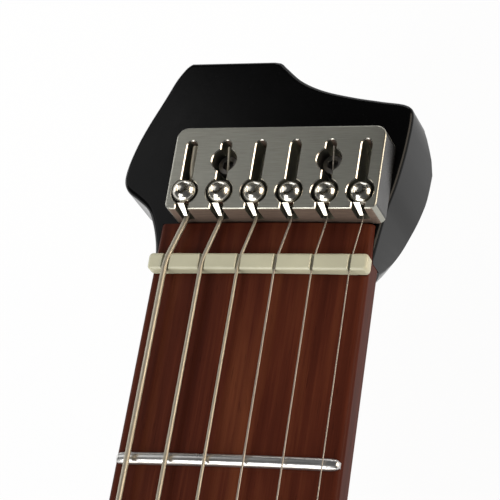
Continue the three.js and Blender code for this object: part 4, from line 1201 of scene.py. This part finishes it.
plan = rounded_rectangle(
    (0, (bridge_front + bridge_rear) / 2), (2 * bridge_half, bridge_front - bridge_rear), 3 * mm
)
tray = plate("bridge_tray", plan, bridge_low, bridge_high, 0.5 * mm, 3)
cutters = [
    block(name, (-half, block_front, low), (half, bridge_front + clear, bridge_high + clear), mm)
    for name, half, low in (
        ("inside", bridge_half - wall_thickness, tray_floor), ("above", bridge_half + clear, wall_top)
    )
]
for x in bridge_x:
    cutters.append(post("bore", (x, bridge_rear - mm, rod_z), (x, block_front + mm, rod_z), bore_radius))
carve(tray, cutters)
dress(tray, "root", black_metal, "black_metal", "bridge_frame")


def cap_screw(name, place, radius, height, socket, body, *nodes, shank=()):
    """A socket head that stands on a place, with or without a shank. Its sizes are in millimetres."""
    rows = [*shank, (radius, 0), (radius, height - 0.2), (radius - 0.2, height), (0, height)]
    head = turned_piece(name, rows, (0, 0, 0), segments=40)
    carve(head, [hex_cutter((0, 0, height * mm), socket * mm, height * 0.6 * mm, 0.08 * mm)])
    head.data.transform(Matrix.Translation(place))
    dress(head, body, dark_steel, "plain_steel", *nodes)


print("bridge", round(2 * bridge_half / mm, 1), "mm wide")

# %% [markdown]
# Each saddle is a block with a high crest, a slope and a long slotted foot, drawn as a side profile and
# stretched across. The string crosses it in a fine groove, and two small screws set its height. The screw that
# holds it down stands in the slot of its foot and stays with the tray, so that the saddle can slide under it.

# %% Saddles
foot_height = 3 * mm
foot_length = 9.2 * mm
height_screw_x = 3.2 * mm
foot_slot = (2.8 * mm, 7.6 * mm)
foot_slot_corner = 1.39 * mm
for i, x in enumerate(bridge_x):
    name = f"saddle_{i + 1}"
    low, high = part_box(name)
    rear, front, floor, crest = low[1], high[1], low[2], high[2]
    foot_top = floor + foot_height
    foot_y = front - foot_length
    shoulder = (crest + foot_top) / 2
    y = rest_y[i]
    side = [
        (rear, floor), (front, floor), (front, foot_top), (foot_y, foot_top), (y + 4.5 * mm, shoulder),
        (y + 1.8 * mm, crest - 0.3 * mm), (y + 0.9 * mm, crest), (y - 0.9 * mm, crest),
        (rear + 1.8 * mm, shoulder), (rear, foot_top),
    ]
    bm = bmesh.new()
    face = bm.faces.new([bm.verts.new((low[0], *point)) for point in side])
    raised = bmesh.ops.extrude_face_region(bm, geom=[face])["geom"]
    across = [v for v in raised if isinstance(v, bmesh.types.BMVert)]
    bmesh.ops.translate(bm, verts=across, vec=(high[0] - low[0], 0, 0))
    bmesh.ops.recalc_face_normals(bm, faces=bm.faces)
    bevel_edges(bm, sharp_edges(bm, 12), 0.28 * mm, 2)
    saddle = finish_mesh(f"{name}_block", bm, 25)
    slot_y = (front + foot_y) / 2
    groove_z = crest + 0.42 * mm
    cutters = [
        chamfered(
            "slot",
            lambda grow: rounded_rectangle(
                (x, slot_y), [size + 2 * grow for size in foot_slot], foot_slot_corner + grow
            ),
            floor - mm, foot_top, 0.2 * mm,
        ),
        post(
            "groove", (x, rear - mm, groove_z), (x, y + 4 * mm, groove_z),
            string_diameters[i] / 2 + 0.35 * mm, 24,
        ),
    ]
    screw_places = [(x + side, y - 0.2 * mm) for side in (-height_screw_x, height_screw_x)]
    for place in screw_places:
        cutters.append(post("height", (*place, floor + 2 * mm), (*place, crest + mm), 0.95 * mm, 24))
    carve(saddle, cutters, angle=25)
    dress(saddle, name, black_metal, "black_metal", name)
    for k, place in enumerate(screw_places, 1):
        cap_screw(
            f"{name}_height_{k}", (*place, floor + 2.1 * mm), 0.85, (crest - floor) / mm - 2.6, 0.42, name,
            shank=[(0, 0)],
        )
    cap_screw(
        f"{name}_lock", (x, slot_y, foot_top + 0.03 * mm), 1.7, 1.5, 0.8, "root", "bridge_frame",
        shank=[(0, -3.5), (1.1, -3.5), (1.1, 0)],
    )
print("saddles", strings)

# %% [markdown]
# A carriage clamps the ball end of its string and is drawn back by a threaded rod. The thumb nut on the rod
# stands behind the rear block. The rod's thread is a stack of fine ridges on one turned profile. The nut has a
# crowned body, whose straight knurling is a star-shaped plan.

# %% Carriages and thumb nuts
carriage_length = 14 * mm
thread_pitch = 0.7
ball_rows = [
    (0, -1.6), (1.7, -1.6), (1.9, -1.3), (1.1, -0.65), (1.1, 0.65), (1.9, 1.3), (1.7, 1.6), (0, 1.6),
]
thumb_nut_rows = [
    (0, 3.51, 0), (0.3, 3.87, 0), (0.9, 4.365, 0), (1.6, 4.5, 0.22), (4.6, 4.5, 0.22), (5, 4.05, 0),
    (5.4, 4.05, 0), (5.8, 4.5, 0.22), (8.8, 4.5, 0.22), (9.2, 4.05, 0), (9.6, 4.05, 0), (10, 4.5, 0.22),
    (12.6, 4.5, 0.22), (13.3, 4.275, 0), (14, 3.6, 0),
]


def knurled(name, rows, ridges, place, axis):
    """A round body along Y or Z with straight knurling. Rows give height, radius and depth in millimetres."""
    steps = 4 * ridges
    sections = []
    for along, radius, deep in rows:
        ring = []
        for k in range(steps):
            reach = (radius - (deep if k % 4 in (2, 3) else 0)) * mm
            angle = 2 * math.pi * k / steps
            across, up = reach * math.cos(angle), reach * math.sin(angle)
            turned = (across, along * mm, up) if axis == "Y" else (across, up, along * mm)
            ring.append(Vector(place) + Vector(turned))
        sections.append(ring)
    bm = bmesh.new()
    add_loft(bm, sections)
    return finish_mesh(name, bm, 30, recalc=True)


for i, x in enumerate(bridge_x):
    number = i + 1
    low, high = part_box(f"tuner_carriage_{number}")
    rear, front, top = high[1] - carriage_length, high[1], high[2]
    ball_y = front - 5.5 * mm
    plan = rounded_rectangle((x, (rear + front) / 2), (9.2 * mm, carriage_length), 1.5 * mm, 6)
    carriage = plate(f"carriage_{number}_block", plan, low[2], top, 0.4 * mm)
    carve(carriage, [
        block(
            "slot", (x - 1.2 * mm, rear + 3 * mm, tray_floor + 4 * mm),
            (x + 1.2 * mm, front + 4 * mm, top + 4 * mm), 0.1 * mm, 1,
        ),
        post("ball", (x - 2.9 * mm, ball_y, rod_z), (x + 2.9 * mm, ball_y, rod_z), 2.05 * mm),
    ])
    dress(carriage, f"tuner_carriage_{number}", part_steel, "brushed_steel", f"tuner_carriage_{number}")
    length = (rear - low[1]) / mm + 1
    rows = [(0, 0), (1.2, 0)]
    for start in [0.3 + thread_pitch * k for k in range(int(length / thread_pitch) - 1)]:
        rows += [(1.2, start), (1.5, start + 0.3), (1.5, start + 0.4)]
    rows += [(1.2, length), (0, length)]
    rod = turned_piece(f"rod_{number}_threaded", rows, (x, low[1], rod_z), (0, 1, 0), 32, 40)
    dress(rod, f"tuner_carriage_{number}", nickel, "brushed_steel")
    ball = turned_piece(f"string_{number}_ball", ball_rows, (x, ball_y, rod_z), (1, 0, 0), 32)
    hole_radius = string_diameters[i] / 2 + 0.15 * mm
    carve(ball, [post("hole", (x, front - 9 * mm, rod_z), (x, front - 2 * mm, rod_z), hole_radius, 20)])
    dress(ball, f"tuner_carriage_{number}", nickel, "brushed_steel")

    low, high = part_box(f"tuner_knob_{number}")
    knob = knurled(f"tuner_knob_{number}_knurled", thumb_nut_rows, 36, (x, low[1], rod_z), "Y")
    carve(knob, [post("bore", (x, low[1] - mm, rod_z), (x, high[1] + mm, rod_z), bore_radius)], angle=30)
    dress(knob, f"tuner_knob_{number}", polished_steel, "polished_steel", f"tuner_knob_{number}")
print("thumb nuts", strings)

# %% [markdown]
# The pickups are moulded covers with soft edges. Six steel poles stand a little proud of each, and two screws
# hold it down. The pole's top is slightly domed, with a slot, so that it catches the light.

# %% Pickups
pickup_screw_x = 30.5 * mm
pickup_screw_inset = 13 * mm
pole_span = 51 * mm
pole_y = 9.25 * mm
pole_rows = [(0, -1), (2.3, -1), (2.3, 0.25), (2.1, 0.42), (0, 0.5)]
pickup_screw_rows = [(0, -2), (1.3, -2), (2.2, -0.65), (2.2, -0.45), (0, -0.15)]


def cross_cutters(x, y, reach, half, low, high):
    """The two arms of a cross slot."""
    return [
        block("cross_arm", (x - across, y - along, low), (x + across, y + along, high))
        for across, along in ((reach, half), (half, reach))
    ]


for name, middle in pickup_y.items():
    low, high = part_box(name)
    top = high[2] - 0.5 * mm
    y = middle - pickup_screw_inset
    plan = rounded_rectangle((0, middle), (70 * mm, 37 * mm), 4 * mm, 10)
    cover = plate(f"{name}_cover", plan, low[2], top, 1 * mm, 4)
    carve(cover, [
        chamfered("screw_seat", lambda grow: circle(x, y, 1.7 * mm + grow, 32), top - 3 * mm, top, 0.6 * mm)
        for x in (-pickup_screw_x, pickup_screw_x)
    ])
    dress(cover, "root", pickup_plastic, "pickup_plastic", name)
    for i in range(strings):
        x = pole_span * (0.5 - i / 5)
        pole = turned_piece(f"{name}_pole_{i + 1}", pole_rows, (x, middle + pole_y, top), segments=40)
        slot_low = (x - 0.3 * mm, middle + 6 * mm, top + 0.12 * mm)
        carve(pole, [block("slot", slot_low, (x + 0.3 * mm, middle + 13 * mm, top + 2 * mm))])
        dress(pole, "root", nickel, "nickel", name)
    for k, x in enumerate((-pickup_screw_x, pickup_screw_x), 1):
        screw = turned_piece(f"{name}_screw_{k}", pickup_screw_rows, (x, y, top), segments=40)
        carve(screw, cross_cutters(x, y, 1.6 * mm, 0.25 * mm, top - mm, top + mm))
        dress(screw, "root", dark_steel, "plain_steel", name)
print("pickups", list(pickup_y))

# %% [markdown]
# The dial knobs are turned, with a knurled side and a pale line on top that shows where they point. The
# bushings, nuts and the switch lever are turned too. The nuts are hexagons with their corners turned off.

# %% Controls
control_roof = 35.7 * mm
nut_floor = body_thickness + 0.3 * mm
lever_pivot = 40.4 * mm
lever_ball = 2.6
dial_rows = [
    (0, 8.4, 0), (0.4, 8.8, 0), (0.9, 9, 0), (1, 9, 0.3), (10.8, 8.8, 0.3), (11, 8.8, 0), (12.6, 8.7, 0),
    (13.9, 8.3, 0), (14.6, 7.7, 0), (15, 6.9, 0), (14.9, 6.4, 0), (14.7, 6.1, 0),
]


def hex_nut(name, x, y, reach, bore, node):
    """A nut on the body's front, with its sizes in millimetres."""
    height = 1.6
    nut_piece = plate(name, hexagon(x, y, reach * mm), nut_floor, nut_floor + height * mm)
    rows = [(0, 0), (reach, 0), (reach, height * 0.7), (reach * 0.88, height), (0, height)]
    carve(nut_piece, [turned_piece("round_off", rows, (x, y, nut_floor), segments=60)], "INTERSECT")
    top = nut_floor + (height + 1) * mm
    carve(nut_piece, [post("bore", (x, y, nut_floor - mm), (x, y, top), bore * mm)])
    dress(nut_piece, "root", nickel, "nickel", node)


for name in ("volume", "tone"):
    x, y = control_places[name]
    bottom, top = heights(f"{name}_knob")
    dial = knurled(f"{name}_knob_turned", dial_rows, 48, (x, y, bottom), "Z")
    carve(dial, [post("bore", (x, y, bottom - mm), (x, y, bottom + 9.2 * mm), 3 * mm)], angle=30)
    dress(dial, f"{name}_knob", black_metal, "black_metal", f"{name}_knob")
    line_low = (x - 0.35 * mm, y + 1.6 * mm, top - 0.5 * mm)
    line_high = (x + 0.35 * mm, y + 6 * mm, top - 0.2 * mm)
    line = block(f"{name}_knob_line", line_low, line_high, 0.05 * mm, 1)
    dress(line, f"{name}_knob", pale_paint, "black_metal")
    low, high = heights(f"{name}_shaft")
    tall = (high - low) / mm
    rows = [(0, 0), (2.6, 0), (2.6, tall - 0.4), (2.2, tall), (0, tall)]
    shaft = turned_piece(f"{name}_shaft_turned", rows, (x, y, low), segments=40)
    dress(shaft, f"{name}_knob", nickel, "nickel", f"{name}_shaft")
    low, high = heights(f"{name}_pot")
    tall, roof = (high - low) / mm, (control_roof - low) / mm
    rows = [
        (0, 0), (11.2, 0), (12, 0.8), (12, roof - 0.6), (11.5, roof), (3.8, roof), (3.8, tall - 0.2),
        (3.6, tall), (3, tall), (3, roof - 4), (0, roof - 4),
    ]
    pot = turned_piece(f"{name}_pot_turned", rows, (x, y, low))
    dress(pot, "root", nickel, "nickel", f"{name}_pot")
    hex_nut(f"{name}_pot_nut", x, y, 5.4, 3.7, f"{name}_pot")

x, y = control_places["selector"]
low, high = heights("selector_switch")
plan = rounded_rectangle((x, y), (16 * mm, 22 * mm), 1 * mm, 4)
case = plate("selector_case", plan, low, control_roof, 0.4 * mm)
carve(case, [post("bore", (x, y, lever_pivot - 2.9 * mm), (x, y, 60 * mm), 4.1 * mm)])
dress(case, "root", pickup_plastic, "nickel", "selector_switch")
tall = (high - control_roof) / mm
rows = [
    (4.1, -1), (5.8, -1), (5.8, tall - 0.4), (5.5, tall), (4.4, tall), (4.1, tall - 0.3), (4.1, -1),
]
bush = turned_piece("selector_bush", rows, (x, y, control_roof), segments=48)
dress(bush, "root", nickel, "nickel", "selector_switch")
hex_nut("selector_nut", x, y, 7.4, 5.7, "selector_switch")
turns = [math.pi / 12 * k for k in range(-5, 5)]
rows = [(0, -lever_ball)] + [(lever_ball * math.cos(a), lever_ball * math.sin(a)) for a in turns]
rows += [
    (1.5, 3.2), (1.5, 12), (1.9, 13.2), (2.6, 15), (2.8, 16.4), (2.5, 17.8), (1.5, 18.7), (0.6, 19), (0, 19),
]
lever = turned_piece("selector_lever_turned", rows, (x, y, lever_pivot), segments=40)
dress(lever, "selector_lever", nickel, "nickel", "selector_lever")
print("controls", list(control_places))

# %% [markdown]
# What is left is hardware: the jack in the side, the strap buttons, the cover over the control cavity with its
# screws, and the four screws that hold the neck.

# %% Jack, cover, strap buttons and screws
jack_depth = 27
strap_shank = 11 * mm
strap_rows = [
    (0, -18), (1.8, -16), (1.8, 0.3), (4.9, 0.3), (5.2, 0.6), (4.4, 2.2), (4.0, 4.2), (4.0, 6.6), (4.6, 8.0),
    (6.2, 9.2), (6.9, 9.7), (7.0, 10.1), (6.7, 10.6), (5.6, 11.0), (3.2, 11.0), (2.2, 10.2), (0, 10.1),
]
# Where the outer face of each button lies, in millimetres, and the way it looks.
strap_places = [
    ((-116.931, 173.470, 21), (0.0930, 0.9957, 0)), ((-74.079, -207.718, 21), (-0.1399, -0.9902, 0)),
]
cover_screw_rows = [(0, 0), (1.56, 0.12), (2.6, 0.55), (1.17, 1.4), (0, 1.4)]
cover_slot_reach, cover_slot_half = 1.612 * mm, 0.26 * mm

length = (jack_face - jack_inner) / mm
rows = [
    (0, 0), (5.4, 0), (5.4, length - 2.1), (8, length - 2.1), (8, length - 0.4), (7.6, length), (4.1, length),
    (3.5, length - 0.6), (3.3, length - 0.8), (3.3, length - jack_depth), (0, length - jack_depth),
]
jack = turned_piece("output_jack_turned", rows, (jack_inner, jack_y, jack_z), (1, 0, 0))
dress(jack, "root", nickel, "black_metal", "output_jack")

low, high = heights("control_cover")
plan = rounded_rectangle(cavity, (66 * mm, 110 * mm), 19 * mm, 10)
cover = plate("control_cover_plate", plan, low, high, 0.4 * mm)
screw_places = [(cavity[0] + sx * 21 * mm, cavity[1] + sy * 51.2 * mm) for sx in (-1, 1) for sy in (-1, 1)]
carve(cover, [
    post("seat", (x, y, low - 0.3 * mm), (x, y, low + 1.5 * mm), 3 * mm, high_radius=1.2 * mm)
    for x, y in screw_places
])
dress(cover, "root", pickup_plastic, "pickup_plastic", "control_cover")
for k, place in enumerate(screw_places, 1):
    screw = turned_piece(f"cover_screw_{k}", cover_screw_rows, (0, 0, 0), segments=40)
    carve(screw, cross_cutters(0, 0, cover_slot_reach, cover_slot_half, -mm, 0.7 * mm))
    screw.data.transform(Matrix.Translation((*place, low)))
    dress(screw, "root", dark_steel, "plain_steel", "control_cover")
for number in range(1, 5):
    low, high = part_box(f"neck_screw_{number}")
    x, y, z = (low[0] + high[0]) / 2, (low[1] + high[1]) / 2, low[2]
    tall = (high[2] - z) / mm
    rows = [(0, 0), (3.6, 0), (4.4, 0.8), (4.4, 2.6), (2.1, 2.6), (2.1, tall - 2.1), (0, tall)]
    screw = turned_piece(f"neck_screw_{number}_turned", rows, (x, y, z), segments=48)
    carve(screw, [plate("hexagon", hexagon(x, y, 2.1 * mm), z - mm, z + 1.8 * mm)])
    dress(screw, "root", dark_steel, "plain_steel", f"neck_screw_{number}")
for number, (face, away) in enumerate(strap_places, 1):
    away = Vector(away).normalized()
    place = Vector(face) * mm - away * strap_shank
    button = turned_piece(f"strap_button_{number}_turned", strap_rows, place, away)
    dress(button, "root", nickel, "nickel", f"strap_button_{number}")
print("hardware done")

# %% [markdown]
# The truss rod lies in its channel under the board and is seen by nobody. It keeps its own solid from the model
# and only gets a finish.

# %% Truss rod
for piece in bpy.data.objects:
    if piece.type == "MESH" and piece.name == "truss_rod":
        piece.data.materials.clear()
        piece.data.materials.append(dark_steel)
print("truss rod finished")
